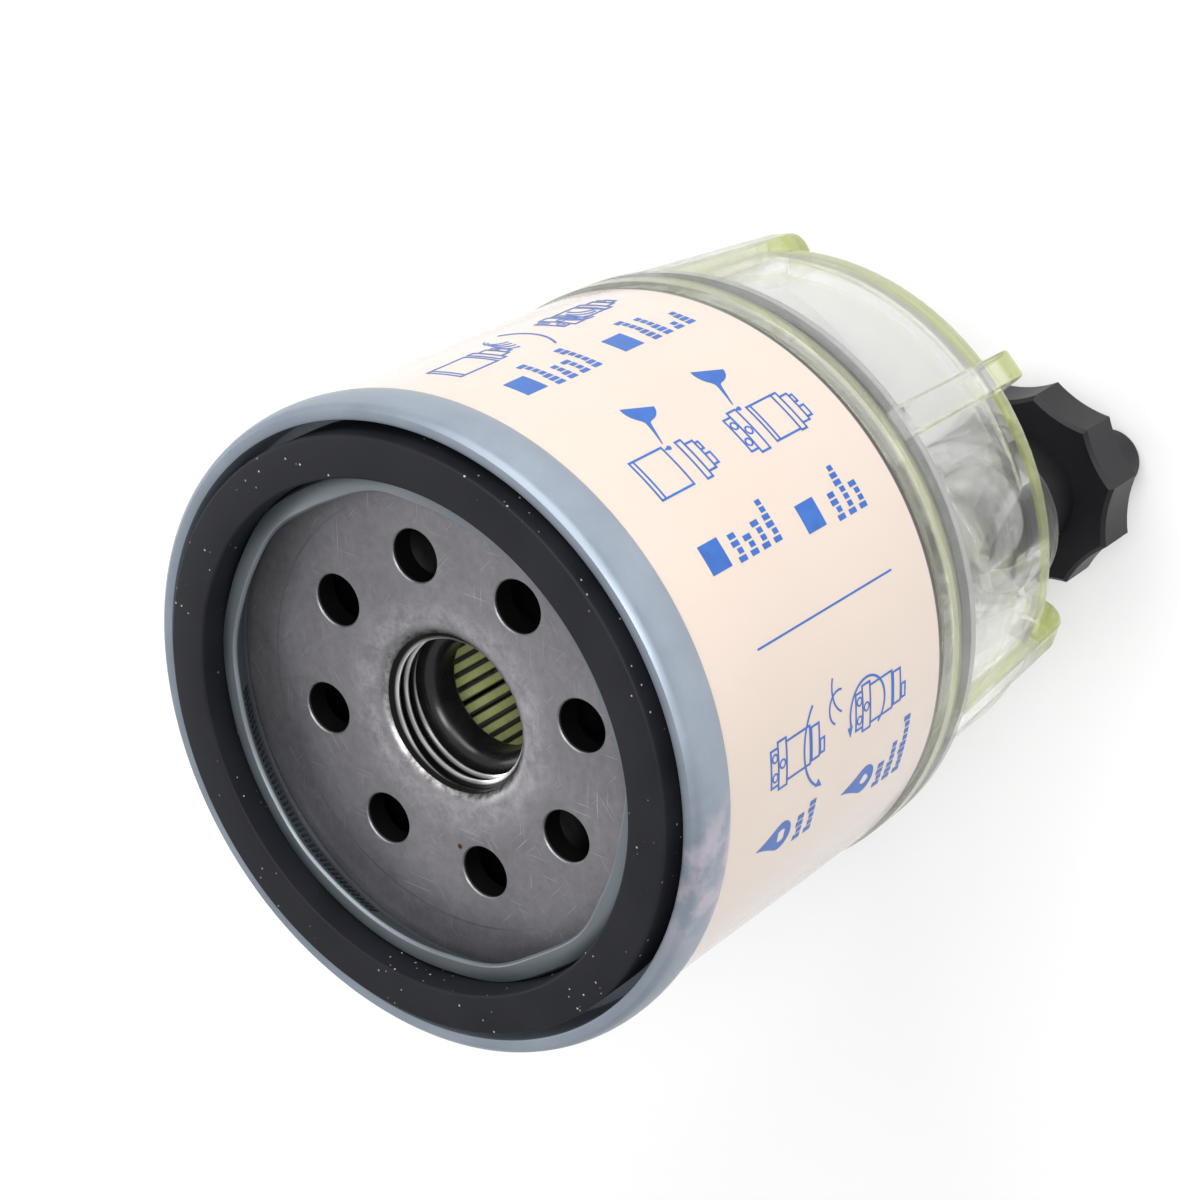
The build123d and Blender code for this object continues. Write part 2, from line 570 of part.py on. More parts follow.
def port_plug():
    """Hexagon plug with a round flange that clamps its seal to the boss."""
    head_top = PLUG_SEAT_Z - PLUG_FLANGE_T
    thread = upright(PLUG_AXIS, PLUG_THREAD_R, PLUG_SEAT_Z, BOWL_FLOOR_Z - PLUG_SHORT)
    flange = upright(PLUG_AXIS, PLUG_FLANGE_R, head_top, PLUG_SEAT_Z)
    head = extrude(RegularPolygon(PLUG_HEX / 2, 6, major_radius=False), amount=PLUG_HEAD_T)
    return thread + flange + Pos(*PLUG_AXIS, head_top - PLUG_HEAD_T) * head


def port_plug_o_ring():
    major = PLUG_THREAD_R + FIT_GAP + PLUG_RING_WIRE_R
    return torus_at(major, PLUG_RING_WIRE_R - FIT_GAP, PLUG_BOSS_Z - PLUG_RING_WIRE_R, PLUG_AXIS)


PIECES = (
    can_shell, lid_retainer, base_plate, head_gasket, centre_grommet, upper_end_cap, pleated_media,
    pleat_clip, lower_end_cap, element_spring, support_plate, bowl_thread_ring, bowl_o_ring, bowl,
    drain_valve, drain_o_ring, port_plug, port_plug_o_ring,
)

os.makedirs("parts", exist_ok=True)
for piece in PIECES:
    export_step(piece(), f"parts/{piece.__name__}.step")
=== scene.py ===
# %% [markdown]
# A fuel water separator is a painted can with a pleated paper element inside, a thick threaded
# plate at one end and a clear bowl at the other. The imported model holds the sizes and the
# joints; this script gives each surface its finish. Nearly every piece is round, so most of
# them are turned: an outline of radius and height, carried round the Z axis. Outlines are in
# millimetres, and become metres where a mesh is made.

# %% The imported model
from math import atan2, cos, degrees, hypot, pi, radians, sin

import bmesh
import bpy
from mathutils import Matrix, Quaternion, Vector


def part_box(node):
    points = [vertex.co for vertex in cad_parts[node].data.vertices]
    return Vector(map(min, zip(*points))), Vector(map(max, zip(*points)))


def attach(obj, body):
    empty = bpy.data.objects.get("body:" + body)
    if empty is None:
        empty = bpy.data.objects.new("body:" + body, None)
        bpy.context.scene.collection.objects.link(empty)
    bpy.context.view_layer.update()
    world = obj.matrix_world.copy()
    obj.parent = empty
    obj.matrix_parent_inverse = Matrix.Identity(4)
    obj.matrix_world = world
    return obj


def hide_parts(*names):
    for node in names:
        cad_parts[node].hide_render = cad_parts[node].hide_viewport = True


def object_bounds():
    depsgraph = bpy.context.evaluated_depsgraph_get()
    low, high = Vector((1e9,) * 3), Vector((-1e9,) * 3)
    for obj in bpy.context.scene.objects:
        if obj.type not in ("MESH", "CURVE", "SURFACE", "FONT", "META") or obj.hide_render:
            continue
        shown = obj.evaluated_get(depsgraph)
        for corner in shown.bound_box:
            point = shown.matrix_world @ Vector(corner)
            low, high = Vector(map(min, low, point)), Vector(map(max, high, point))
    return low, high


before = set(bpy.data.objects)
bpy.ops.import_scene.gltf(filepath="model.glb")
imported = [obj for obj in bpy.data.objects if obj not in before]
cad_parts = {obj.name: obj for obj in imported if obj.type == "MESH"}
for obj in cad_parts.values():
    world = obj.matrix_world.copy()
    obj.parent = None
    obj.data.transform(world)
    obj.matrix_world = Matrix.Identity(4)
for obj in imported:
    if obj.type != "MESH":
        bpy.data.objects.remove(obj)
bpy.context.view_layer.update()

MM = 0.001


def box_mm(node):
    """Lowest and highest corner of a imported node, in millimetres."""
    low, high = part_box(node)
    return low / MM, high / MM


# %% [markdown]
# The camera comes first, because every later choice is judged through it. It could be placed by
# eye, but the gasket, the holes and the can's ends are all known circles, so their ellipses in
# the photograph fix the distance, the tilt and the lens.

# %% Camera
CAMERA_AT = Vector((97.14, -212.65, 215.74)) * MM
CAMERA_AIM = Vector((2.95, 1.30, -30.70)) * MM
CAMERA_ROLL = radians(-119.24)
CAMERA_LENS = 84.73
SENSOR_WIDTH = 36.0
NEAREST_SEEN = 10 * MM


def make_camera():
    data = bpy.data.cameras.new("camera")
    data.lens = CAMERA_LENS
    data.sensor_width = SENSOR_WIDTH
    data.clip_start = NEAREST_SEEN
    camera = bpy.data.objects.new("camera", data)
    bpy.context.scene.collection.objects.link(camera)
    level = (CAMERA_AIM - CAMERA_AT).to_track_quat("-Z", "Y")
    camera.rotation_mode = "QUATERNION"
    camera.rotation_quaternion = level @ Quaternion((0, 0, 1), CAMERA_ROLL)
    camera.location = CAMERA_AT
    bpy.context.scene.camera = camera
    return camera


print("camera at", [round(x, 4) for x in make_camera().location])

# %% [markdown]
# A real pressed or moulded edge always has a small radius that catches light. A Bevel modifier
# would round every edge alike, so the corners are rounded in the outline instead, each by its
# own radius and with a short arc.

# %% Rounded corners


def rounded(points, radii, arc=4):
    """The closed outline with an arc of the given radius at each corner that radii names."""
    result = []
    for i, point in enumerate(points):
        here = Vector(point)
        if i not in radii:
            result.append(here)
            continue
        radius = radii[i]
        back = (Vector(points[i - 1]) - here).normalized()
        ahead = (Vector(points[(i + 1) % len(points)]) - here).normalized()
        half = back.angle(ahead) / 2
        centre = here + (back + ahead).normalized() * radius / sin(half)
        reach = radius * cos(half) / sin(half)
        start = here + back * reach - centre
        turn = start.angle_signed(here + ahead * reach - centre)
        for k in range(arc + 1):
            angle = -turn * k / arc
            result.append(centre + Vector((start.x * cos(angle) - start.y * sin(angle),
                                           start.x * sin(angle) + start.y * cos(angle))))
    return [(p.x, p.y) for p in result]


print("a corner becomes an arc of", len(rounded([(0, 0), (1, 0), (1, 1)], {1: 0.1})) - 2, "points")

# %% [markdown]
# A turned piece could be made with the Screw modifier. Here a short function does it, because
# it can also move single points, which the lid's uneven lip needs. It merges the points that
# meet on the axis and turns the faces outward.

# %% Turned meshes
STEPS = 192
SAME_POINT = 1e-8         # metres
ON_AXIS = 1e-9            # millimetres


def point_at(radius, angle, z, centre=(0, 0)):
    """A point in metres, from sizes in millimetres round an axis parallel to Z."""
    return (centre[0] + radius * cos(angle)) * MM, (centre[1] + radius * sin(angle)) * MM, z * MM


def finished_mesh(body, name):
    """The mesh of a bmesh, with its faces turned outward."""
    mesh = bpy.data.meshes.new(name)
    bmesh.ops.recalc_face_normals(body, faces=body.faces)
    body.to_mesh(mesh)
    body.free()
    return mesh


def turned_mesh(name, outline, steps=STEPS, warp=None, centre=(0, 0)):
    """A closed mesh from a closed outline. warp(radius, z, angle) may move a point."""
    body = bmesh.new()
    rings = []
    for j in range(steps):
        angle = 2 * pi * j / steps
        places = [warp(*point, angle) if warp else point for point in outline]
        rings.append([body.verts.new(point_at(radius, angle, z, centre)) for radius, z in places])
    for j in range(steps):
        here, ahead = rings[j], rings[(j + 1) % steps]
        for i in range(len(outline)):
            k = (i + 1) % len(outline)
            if max(outline[i][0], outline[k][0]) > ON_AXIS:
                body.faces.new((here[i], ahead[i], ahead[k], here[k]))
    bmesh.ops.remove_doubles(body, verts=body.verts, dist=SAME_POINT)
    bmesh.ops.dissolve_degenerate(body, dist=SAME_POINT, edges=body.edges)
    return finished_mesh(body, name)


print("turned pieces have", STEPS, "steps round the axis")

# %% [markdown]
# A finished mesh goes through two steps. Smooth shading hides the facets of a round one but
# keeps its real corners. Then it is linked, dressed, and told which moving body it rides on and
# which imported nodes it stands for.

# %% Piece helpers


def smooth(mesh, angle=35):
    """Smooth shading that keeps corners sharper than the angle."""
    mesh.shade_smooth()
    mesh.set_sharp_from_angle(angle=radians(angle))
    return mesh


def piece(name, mesh, body, material, slot, *nodes):
    """Link a finished mesh, give it its material and body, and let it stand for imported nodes."""
    obj = bpy.data.objects.new(name, mesh)
    bpy.context.scene.collection.objects.link(obj)
    mesh.materials.clear()
    mesh.materials.append(material)
    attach(obj, body)
    if nodes:
        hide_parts(*nodes)
    print(f"{name}: {len(mesh.polygons)} faces on {body}")


def finish(material, *nodes):
    """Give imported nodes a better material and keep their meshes."""
    for node in nodes:
        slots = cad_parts[node].data.materials
        slots.clear()
        slots.append(material)
    print(material.name, "on", ", ".join(nodes))


print("piece helpers ready")

# %% [markdown]
# Materials are node trees. One helper makes a node and fills its sockets by name, so that each
# material below reads as a list of what the real surface has. A painted image would do as well
# from one distance, but a pattern made by nodes stays sharp at all of them.

# %% Node helpers


def set_socket(tree, socket, value):
    """Link a socket to another one, or give it a plain value."""
    if isinstance(value, bpy.types.NodeSocket):
        tree.links.new(value, socket)
    else:
        socket.default_value = value


def fill(tree, node, values):
    """Set or link sockets by name. An underscore in the name stands for a space."""
    for key, value in values.items():
        set_socket(tree, node.inputs[key.replace("_", " ")], value)


def add(tree, kind, settings=None, **values):
    """A new node, with its own settings and its sockets filled."""
    node = tree.nodes.new(kind)
    for key, value in (settings or {}).items():
        setattr(node, key, value)
    fill(tree, node, values)
    return node


def maths(tree, how, *values):
    node = add(tree, "ShaderNodeMath", {"operation": how})
    for socket, value in zip(node.inputs, values):
        set_socket(tree, socket, value)
    return node.outputs["Value"]


def vector_maths(tree, how, first, second, result="Vector"):
    node = add(tree, "ShaderNodeVectorMath", {"operation": how})
    set_socket(tree, node.inputs[0], first)
    set_socket(tree, node.inputs[1], second)
    return node.outputs[result]


print("node helpers ready")

# %% [markdown]
# Three more helpers turn a number into a look: one maps a range of it to another range, one
# reads colours along it, and one uses it to blend two colours.

# %% Colour helpers


def spread(tree, factor, low, high, to_low=0.0, to_high=1.0):
    """A factor mapped from one range to another and held inside it."""
    return add(tree, "ShaderNodeMapRange", Value=factor, From_Min=low, From_Max=high,
               To_Min=to_low, To_Max=to_high).outputs["Result"]


def ramp(tree, factor, stops):
    """Colours along a factor, as (place, colour) stops."""
    node = add(tree, "ShaderNodeValToRGB", Fac=factor)
    line = node.color_ramp.elements
    while len(line) < len(stops):
        line.new(0.5)
    for element, (place, colour) in zip(line, stops):
        element.position = place
        element.color = (*colour, 1.0)
    return node.outputs["Color"]


def blend_colours(tree, factor, first, second):
    """The first colour where the factor is 0 and the second one where it is 1."""
    node = add(tree, "ShaderNodeMix", {"data_type": "RGBA"})
    for key, value in (("Factor_Float", factor), ("A_Color", first), ("B_Color", second)):
        socket = next(s for s in node.inputs if s.identifier == key)
        set_socket(tree, socket, (*value, 1.0) if isinstance(value, tuple) else value)
    return next(s for s in node.outputs if s.identifier == "Result_Color")


print("colour helpers ready")

# %% [markdown]
# A real finish is a colour that wanders a little, with marks on it that have a place. The
# wandering is noise, whose scale counts features per metre. A mark is a mask: a length, such as
# a height or a distance from the axis, that goes from 0 to 1 between two sizes.

# %% Finish helpers
NOISE_SPAN = (0.3, 0.7)
BUMP_DEPTH = 0.1 * MM


def shader(name, **settings):
    """A new material and its main shader, with plain numbers set on the shader's own sockets."""
    material = bpy.data.materials.new(name)
    material.use_nodes = True
    main = material.node_tree.nodes["Principled BSDF"]
    fill(material.node_tree, main, settings)
    return material, material.node_tree, main


def object_place(tree, scale=(1, 1, 1)):
    """The object's own coordinates, stretched by scale."""
    place = add(tree, "ShaderNodeTexCoord").outputs["Object"]
    return add(tree, "ShaderNodeMapping", Vector=place, Scale=scale).outputs["Vector"]


def noise(tree, place, scale, detail=3.0, rough=0.5):
    return add(tree, "ShaderNodeTexNoise", Vector=place, Scale=scale, Detail=detail,
               Roughness=rough).outputs["Fac"]


def two_tone(tree, factor, dark, light, span=NOISE_SPAN):
    """A colour that wanders between two others as a noise does."""
    return ramp(tree, factor, [(span[0], dark), (span[1], light)])


def vary(tree, factor, least, most):
    """A number that wanders between two others as a noise does."""
    return spread(tree, factor, *NOISE_SPAN, least, most)


def bump(tree, main, height, strength):
    node = add(tree, "ShaderNodeBump", Height=height, Strength=strength, Distance=BUMP_DEPTH)
    fill(tree, main, {"Normal": node.outputs["Normal"]})


def height_of(tree, place):
    return add(tree, "ShaderNodeSeparateXYZ", Vector=place).outputs["Z"]


def distance(tree, place, point):
    """How far the surface is from one point, in metres."""
    return vector_maths(tree, "DISTANCE", place, point, "Value")


def from_axis(tree, place, centre=(0.0, 0.0)):
    """Distance from an axis parallel to Z, in metres."""
    return distance(tree, vector_maths(tree, "MULTIPLY", place, (1, 1, 0)), (*centre, 0.0))


def from_spoke(tree, place, count):
    """Sideways distance from the nearest of equally spaced spokes, the first along +X."""
    axes = add(tree, "ShaderNodeSeparateXYZ", Vector=place).outputs
    turn = maths(tree, "PINGPONG", maths(tree, "ARCTAN2", axes["Y"], axes["X"]), pi / count)
    return both(tree, from_axis(tree, place), maths(tree, "SINE", turn))


def mask(tree, length, edge, strength=1.0):
    """0 at the edge's first size and the given strength at its second, both in millimetres."""
    return spread(tree, length, edge[0] * MM, edge[1] * MM, 0.0, strength)


def both(tree, first, second):
    """The product of two factors: a mask where both of them hold."""
    return maths(tree, "MULTIPLY", first, second)


print("finish helpers ready")

# %% [markdown]
# Cream can paint is glossy but not a mirror: it has a very shallow orange peel, and handling
# leaves it slightly duller in places. A plain colour would look like plastic. So the peel is a
# fine bump, the dullness a slow noise on the roughness, and a black line ends it at the foot.

# %% Can paint
CREAM_DARK = (0.60, 0.500, 0.428)
CREAM_LIGHT = (0.635, 0.530, 0.455)
FOOT_BLACK = (0.006, 0.006, 0.006)
FOOT_EDGE = (-42.6, -42.8)


def make_can_paint():
    material, tree, main = shader("cream_paint", Roughness=0.22, Coat_Weight=0.4, Coat_Roughness=0.06)
    place = object_place(tree)
    handled = noise(tree, place, 30.0)
    foot = mask(tree, height_of(tree, place), FOOT_EDGE)
    colour = blend_colours(tree, foot, two_tone(tree, handled, CREAM_DARK, CREAM_LIGHT), FOOT_BLACK)
    fill(tree, main, {"Base Color": colour, "Roughness": vary(tree, handled, 0.18, 0.27)})
    bump(tree, main, noise(tree, place, 900.0, 2.0), 0.04)
    return material


cream_paint = make_can_paint()
print("made", cream_paint.name)

# %% [markdown]
# The lid is zinc coated sheet: blue-grey, satin and cloudy, with one rubbed patch on the rim.
# Its folded inner lip has painted shade, deepest low down where little light gets in. Zinc is a
# dull metal, so the shader is only about half metallic.

# %% Zinc sheet
ZINC_DARK = (0.20, 0.238, 0.285)
ZINC_MIDDLE = (0.27, 0.312, 0.37)
ZINC_LIGHT = (0.35, 0.39, 0.45)
ZINC_RUBBED = (0.42, 0.39, 0.45)
RUBBED_PLACE = Vector((-15.0, -36.0, 4.0)) * MM
RUBBED_EDGE = (11.0, 4.0)
# painted shade on the folded lip: darkest low down, less dark at its crest
FOLD_DEEP_SHADE = (0.045, 0.062, 0.068)
FOLD_UPPER_SHADE = (0.175, 0.197, 0.212)
FOLD_HEIGHT = (4.7, 5.1)
FOLD_RADIUS = (32.2, 31.6)


def make_zinc():
    material, tree, main = shader("zinc_sheet", Metallic=0.55, Roughness=0.42)
    place = object_place(tree)
    clouds = noise(tree, place, 60.0, 5.0, 0.6)
    colour = ramp(tree, clouds, [(0.25, ZINC_DARK), (0.55, ZINC_MIDDLE), (0.8, ZINC_LIGHT)])
    rubbed = both(tree, mask(tree, distance(tree, place, RUBBED_PLACE), RUBBED_EDGE),
                  spread(tree, noise(tree, place, 260.0, 4.0), 0.40, 0.55))
    colour = blend_colours(tree, rubbed, colour, ZINC_RUBBED)
    # painted shade: the folded lip is darkened, most of all low down
    fold = blend_colours(tree, mask(tree, height_of(tree, place), FOLD_HEIGHT), FOLD_DEEP_SHADE, FOLD_UPPER_SHADE)
    colour = blend_colours(tree, mask(tree, from_axis(tree, place), FOLD_RADIUS, 0.8), colour, fold)
    fill(tree, main, {"Base Color": colour, "Roughness": vary(tree, clouds, 0.34, 0.50)})
    bump(tree, main, noise(tree, object_place(tree, (1, 1, 6)), 900.0, 2.0), 0.08)
    return material


zinc_sheet = make_zinc()
print("made", zinc_sheet.name)

# %% [markdown]
# Bare steel is scratched wherever it was handled. A picture of scratches would repeat; a noise
# stretched along one axis gives long thin streaks that never do, and four sets of them at
# different turns look like handling marks.

# %% Scratches
SCRATCH_LENGTH = 45
SCRATCH_SETS = ((0.4, 150.0), (1.3, 120.0), (2.2, 180.0), (2.9, 140.0))


def scratches(tree, turn, scale):
    """Thin straight streaks that run in one direction."""
    source = add(tree, "ShaderNodeTexCoord").outputs["Object"]
    place = add(tree, "ShaderNodeMapping", {"vector_type": "TEXTURE"}, Vector=source,
                Rotation=(0, 0, turn), Scale=(1 / scale, 1 / (scale * SCRATCH_LENGTH), 1 / scale))
    streaks = noise(tree, place.outputs["Vector"], 1.0, 1.0)
    return maths(tree, "MULTIPLY", spread(tree, streaks, 0.72, 0.77), 0.75)


print(len(SCRATCH_SETS), "sets of scratches")

# %% [markdown]
# The base plate is pressed steel, dark from its oil, with a worn pale ring round the thread, a
# faint ring left by the press and one speck of rust. Its mouth is worn bright, and deep in the
# bore and the inlets it is painted nearly black as shade. Each of these is a mask over the last
# colour, so any one can be taken out to see what it does.

# %% Plate steel
STEEL_DARK = (0.23, 0.222, 0.243)
STEEL_LIGHT = (0.31, 0.30, 0.325)
STEEL_PITTED = (0.10, 0.098, 0.105)
STEEL_WORN = (0.50, 0.485, 0.525)
STEEL_CUT = (0.50, 0.49, 0.52)
PRESS_DARK = (0.09, 0.09, 0.095)
RUST = (0.07, 0.022, 0.015)
MOUTH_DARK = (0.10, 0.097, 0.10)
MOUTH_LIGHT = (0.42, 0.41, 0.41)
SHADE = (0.012, 0.012, 0.013)
WORN_OUTER = (15.5, 12.2)
WORN_INNER = (10.2, 11.4)
PRESS_RING_R = 26.2
PRESS_RING_EDGE = (0.18, 0.05)
RUST_PLACE = Vector((-16.14, 2.93, 0.0)) * MM
RUST_EDGE = (0.45, 0.20)
SUNK_EDGE = (-0.15, -0.50)
MOUTH_EDGE = (11.2, 10.6)
BORE_EDGE = (9.8, 9.65)
BORE_HEIGHT = (-1.3, -1.9)
INLET_EDGE_R = (12.5, 13.5)


def handled_steel(tree, place, radius, clouds, fine):
    """The plate's flat face: cloudy, pitted, worn round the thread, scratched and rusted."""
    colour = two_tone(tree, clouds, STEEL_DARK, STEEL_LIGHT)
    colour = blend_colours(tree, spread(tree, fine, 0.35, 0.75, 0.0, 0.35), colour, STEEL_PITTED)
    ring = both(tree, mask(tree, radius, WORN_OUTER), mask(tree, radius, WORN_INNER))
    patchy = spread(tree, noise(tree, place, 330.0, 6.0, 0.75), 0.40, 0.66, 0.05, 0.75)
    colour = blend_colours(tree, both(tree, ring, patchy), colour, STEEL_WORN)
    for turn, scale in SCRATCH_SETS:
        colour = blend_colours(tree, scratches(tree, turn, scale), colour, STEEL_CUT)
    press = maths(tree, "ABSOLUTE", maths(tree, "SUBTRACT", radius, PRESS_RING_R * MM))
    press = both(tree, mask(tree, press, PRESS_RING_EDGE, 0.45), spread(tree, clouds, 0.45, 0.6))
    colour = blend_colours(tree, press, colour, PRESS_DARK)
    rust = mask(tree, distance(tree, place, RUST_PLACE), RUST_EDGE)
    return blend_colours(tree, rust, colour, RUST)


def make_plate_steel():
    material, tree, main = shader("plate_steel", Metallic=0.8, Roughness=0.45)
    place = object_place(tree)
    radius = from_axis(tree, place)
    height = height_of(tree, place)
    clouds = noise(tree, place, 45.0, 6.0, 0.6)
    fine = noise(tree, place, 700.0, 4.0, 0.7)
    colour = handled_steel(tree, place, radius, clouds, fine)
    sunk = mask(tree, height, SUNK_EDGE)
    mouth = both(tree, mask(tree, radius, MOUTH_EDGE), sunk)
    worn = two_tone(tree, noise(tree, place, 900.0, 4.0, 0.7), MOUTH_DARK, MOUTH_LIGHT, (0.35, 0.62))
    colour = blend_colours(tree, mouth, colour, worn)
    # painted shade: deep in the bore and the inlets the steel is nearly black
    bore_shade = both(tree, mask(tree, radius, BORE_EDGE), mask(tree, height, BORE_HEIGHT))
    colour = blend_colours(tree, bore_shade, colour, SHADE)
    colour = blend_colours(tree, both(tree, mask(tree, radius, INLET_EDGE_R), sunk), colour, SHADE)
    rough = maths(tree, "SUBTRACT", vary(tree, clouds, 0.40, 0.52), maths(tree, "MULTIPLY", mouth, 0.08))
    fill(tree, main, {"Base Color": colour, "Roughness": rough})
    bump(tree, main, fine, 0.06)
    return material


plate_steel = make_plate_steel()
print("made", plate_steel.name)

# %% [markdown]
# The thread was cut after the pressing, so its crests are bright; the gaps between its turns are
# painted dark as shade. Fine turning marks run round the axis: a noise squeezed along Z only.

# %% Cut steel
CREST_DULL = (0.45, 0.44, 0.44)
CREST_BRIGHT = (0.95, 0.93, 0.92)
THREAD_GAP_SHADE = (0.012, 0.012, 0.012)
CREST_EDGE = (8.8, 9.2)


def make_cut_steel():
    material, tree, main = shader("cut_steel", Metallic=0.85, Roughness=0.3)
    lines = noise(tree, object_place(tree, (1, 1, 24)), 220.0, 4.0)
    # painted shade in the gaps between the thread's turns
    gap_shade = mask(tree, from_axis(tree, object_place(tree)), CREST_EDGE)
    colour = blend_colours(tree, gap_shade, two_tone(tree, lines, CREST_DULL, CREST_BRIGHT), THREAD_GAP_SHADE)
    fill(tree, main, {"Base Color": colour, "Roughness": vary(tree, lines, 0.16, 0.32)})
    bump(tree, main, lines, 0.15)
    return material


cut_steel = make_cut_steel()
print("made", cut_steel.name)

# %% [markdown]
# Black rubber is matte with a faint bloom, and pale dust specks lie on it. Modelled specks would
# cost faces. A Voronoi texture keeps only the points nearest its cells' centres, and a second
# noise thins them out. The grommet in the bore is the same rubber, wet and glossy.

# %% Rubber
RUBBER_DARK = (0.0075, 0.0080, 0.0115)
RUBBER_BLOOM = (0.0135, 0.0140, 0.0190)
DUST = (0.45, 0.44, 0.40)
WET_DARK = (0.006, 0.006, 0.007)
WET_LIGHT = (0.011, 0.011, 0.012)


def make_rubber():
    material, tree, main = shader("black_rubber", Roughness=0.6, Specular_IOR_Level=0.22)
    place = object_place(tree)
    bloom = noise(tree, place, 120.0, 4.0)
    cells = add(tree, "ShaderNodeTexVoronoi", Vector=place, Scale=860.0).outputs["Distance"]
    specks = both(tree, spread(tree, cells, 0.13, 0.07),
                  spread(tree, noise(tree, place, 160.0), 0.52, 0.57))
    colour = two_tone(tree, bloom, RUBBER_DARK, RUBBER_BLOOM, (0.3, 0.75))
    fill(tree, main, {"Base Color": blend_colours(tree, specks, colour, DUST),
                      "Roughness": vary(tree, bloom, 0.52, 0.68)})
    bump(tree, main, noise(tree, place, 1500.0), 0.10)
    return material


def make_wet_rubber():
    material, tree, main = shader("wet_rubber", Roughness=0.24, Specular_IOR_Level=0.5)
    skin = noise(tree, object_place(tree), 400.0)
    fill(tree, main, {"Base Color": two_tone(tree, skin, WET_DARK, WET_LIGHT),
                      "Roughness": vary(tree, skin, 0.22, 0.34)})
    bump(tree, main, skin, 0.08)
    return material


black_rubber = make_rubber()
wet_rubber = make_wet_rubber()
print("made", black_rubber.name, "and", wet_rubber.name)

# %% [markdown]
# The filter paper is resin treated and olive green. Fibres show as a fine mottling. Seen through
# the bore, the gaps between the folds are painted dark as shade, one slot on each spoke of the element.

# %% Filter paper
PLEATS = 45
PAPER_DARK = (0.56, 0.60, 0.24)
PAPER_LIGHT = (0.68, 0.72, 0.30)
PAPER_SLOT_SHADE = (0.020, 0.026, 0.006)
SLOT_EDGE = (0.44, 0.28)


def make_paper():
    material, tree, main = shader("filter_paper", Roughness=0.75, Sheen_Weight=0.15)
    place = object_place(tree)
    fibre = noise(tree, place, 1400.0, 6.0, 0.7)
    # painted shade: dark slots between the folds, one on each spoke
    slots = mask(tree, from_spoke(tree, place, PLEATS), SLOT_EDGE)
    colour = blend_colours(tree, slots, two_tone(tree, fibre, PAPER_DARK, PAPER_LIGHT), PAPER_SLOT_SHADE)
    fill(tree, main, {"Base Color": colour})
    bump(tree, main, fibre, 0.25)
    return material


filter_paper = make_paper()
print("made", filter_paper.name)

# %% [markdown]
# The bowl is clear moulded plastic. Seen square on it is colourless; seen along an edge, light
# has come a long way through it and turns yellow-green. Light that bends many times is slow and
# grainy to render, so the tints that it leaves are also painted on by place, in bands along the
# foot ring and the stepped flange. In the flange the bands are also painted shade of the gap
# under the can, a painted highlight on its chamfer, and the dark parts behind it painted as seen
# through it. One ramp over the height holds them, and a second one holds how much light passes,
# as a shade of grey.

# %% Bands of the bowl
BOWL_CLEAR = (0.995, 0.988, 1.0)
BOWL_EDGE = (0.50, 0.56, 0.08)
BOWL_PALE = (0.70, 0.74, 0.32)
CLEAR, LIGHT_GREY, DARK_GREY, DEEP_GREY = (1.0,) * 3, (0.68,) * 3, (0.6,) * 3, (0.35,) * 3
BAND_SPAN = (-82.0, -36.0)
# painted light: tints of light carried through the plastic, and in the flange painted shade, a painted
# highlight and the dark parts behind painted as seen through
BAND_PAINTED_LIGHT = ((-82.0, BOWL_EDGE), (-75.79, BOWL_EDGE), (-75.1, BOWL_PALE), (-73.26, BOWL_PALE),
              (-72.89, BOWL_EDGE), (-72.52, BOWL_EDGE), (-72.16, BOWL_CLEAR), (-50.9, BOWL_CLEAR),
              (-50.72, (0.30, 0.31, 0.32)), (-50.44, (0.62, 0.64, 0.66)), (-49.71, (0.50, 0.52, 0.53)),
              (-49.48, (0.06, 0.065, 0.065)), (-47.73, (0.14, 0.145, 0.14)), (-47.32, (0.30, 0.31, 0.24)),
              (-46.95, (0.62, 0.64, 0.40)), (-45.29, (0.66, 0.68, 0.44)), (-44.92, (0.22, 0.225, 0.20)))
BAND_CLEARNESS = ((-82.0, LIGHT_GREY), (-72.52, LIGHT_GREY), (-72.16, CLEAR), (-50.9, CLEAR),
                  (-50.63, DARK_GREY), (-49.62, DARK_GREY), (-49.39, DEEP_GREY), (-47.59, DEEP_GREY),
                  (-47.32, DARK_GREY))


def bands(tree, height, stops):
    """A ramp whose stops are heights in millimetres."""
    low, high = BAND_SPAN
    factor = spread(tree, height, low * MM, high * MM)
    return ramp(tree, factor, [((z - low) / (high - low), colour) for z, colour in stops])


print(len(BAND_PAINTED_LIGHT), "tints from", *BAND_SPAN, "mm")

# %% [markdown]
# The flanks of the ribs get the same painted tint, and the drain boss is kept clear. Layer Weight
# knows how edge-on a surface is, which gives the rims their painted yellow-green, and a thin
# absorption in the volume does the rest.

# %% Clear plastic
BOSS_CLEAR = (0.72, 0.74, 0.78)
BOWL_VOLUME = (0.82, 0.88, 0.35, 1.0)
BOWL_DENSITY = 6.0
OUTSIDE_EDGE = (31.5, 32.5)
RIBS = 6
RIB_OUTER = (2.4, 2.0)
RIB_INNER = (1.35, 1.65)
RIB_TOP = (-51.0, -51.4)
RIB_PROUD = (35.2, 35.6)
DRAIN_PLACE = Vector((-2.2346, -22.7907)) * MM
BOSS_EDGE = (11.8, 11.5)
BOSS_TOP = (-76.1, -76.4)


def rib_flanks(tree, place, height):
    """A half strong mask on both flanks of each rib, where the ribs stand proud of the wall."""
    aside = from_spoke(tree, place, RIBS)
    flank = both(tree, mask(tree, aside, RIB_INNER), mask(tree, aside, RIB_OUTER))
    proud = both(tree, mask(tree, height, RIB_TOP), mask(tree, from_axis(tree, place), RIB_PROUD))
    return both(tree, flank, both(tree, proud, 0.5))


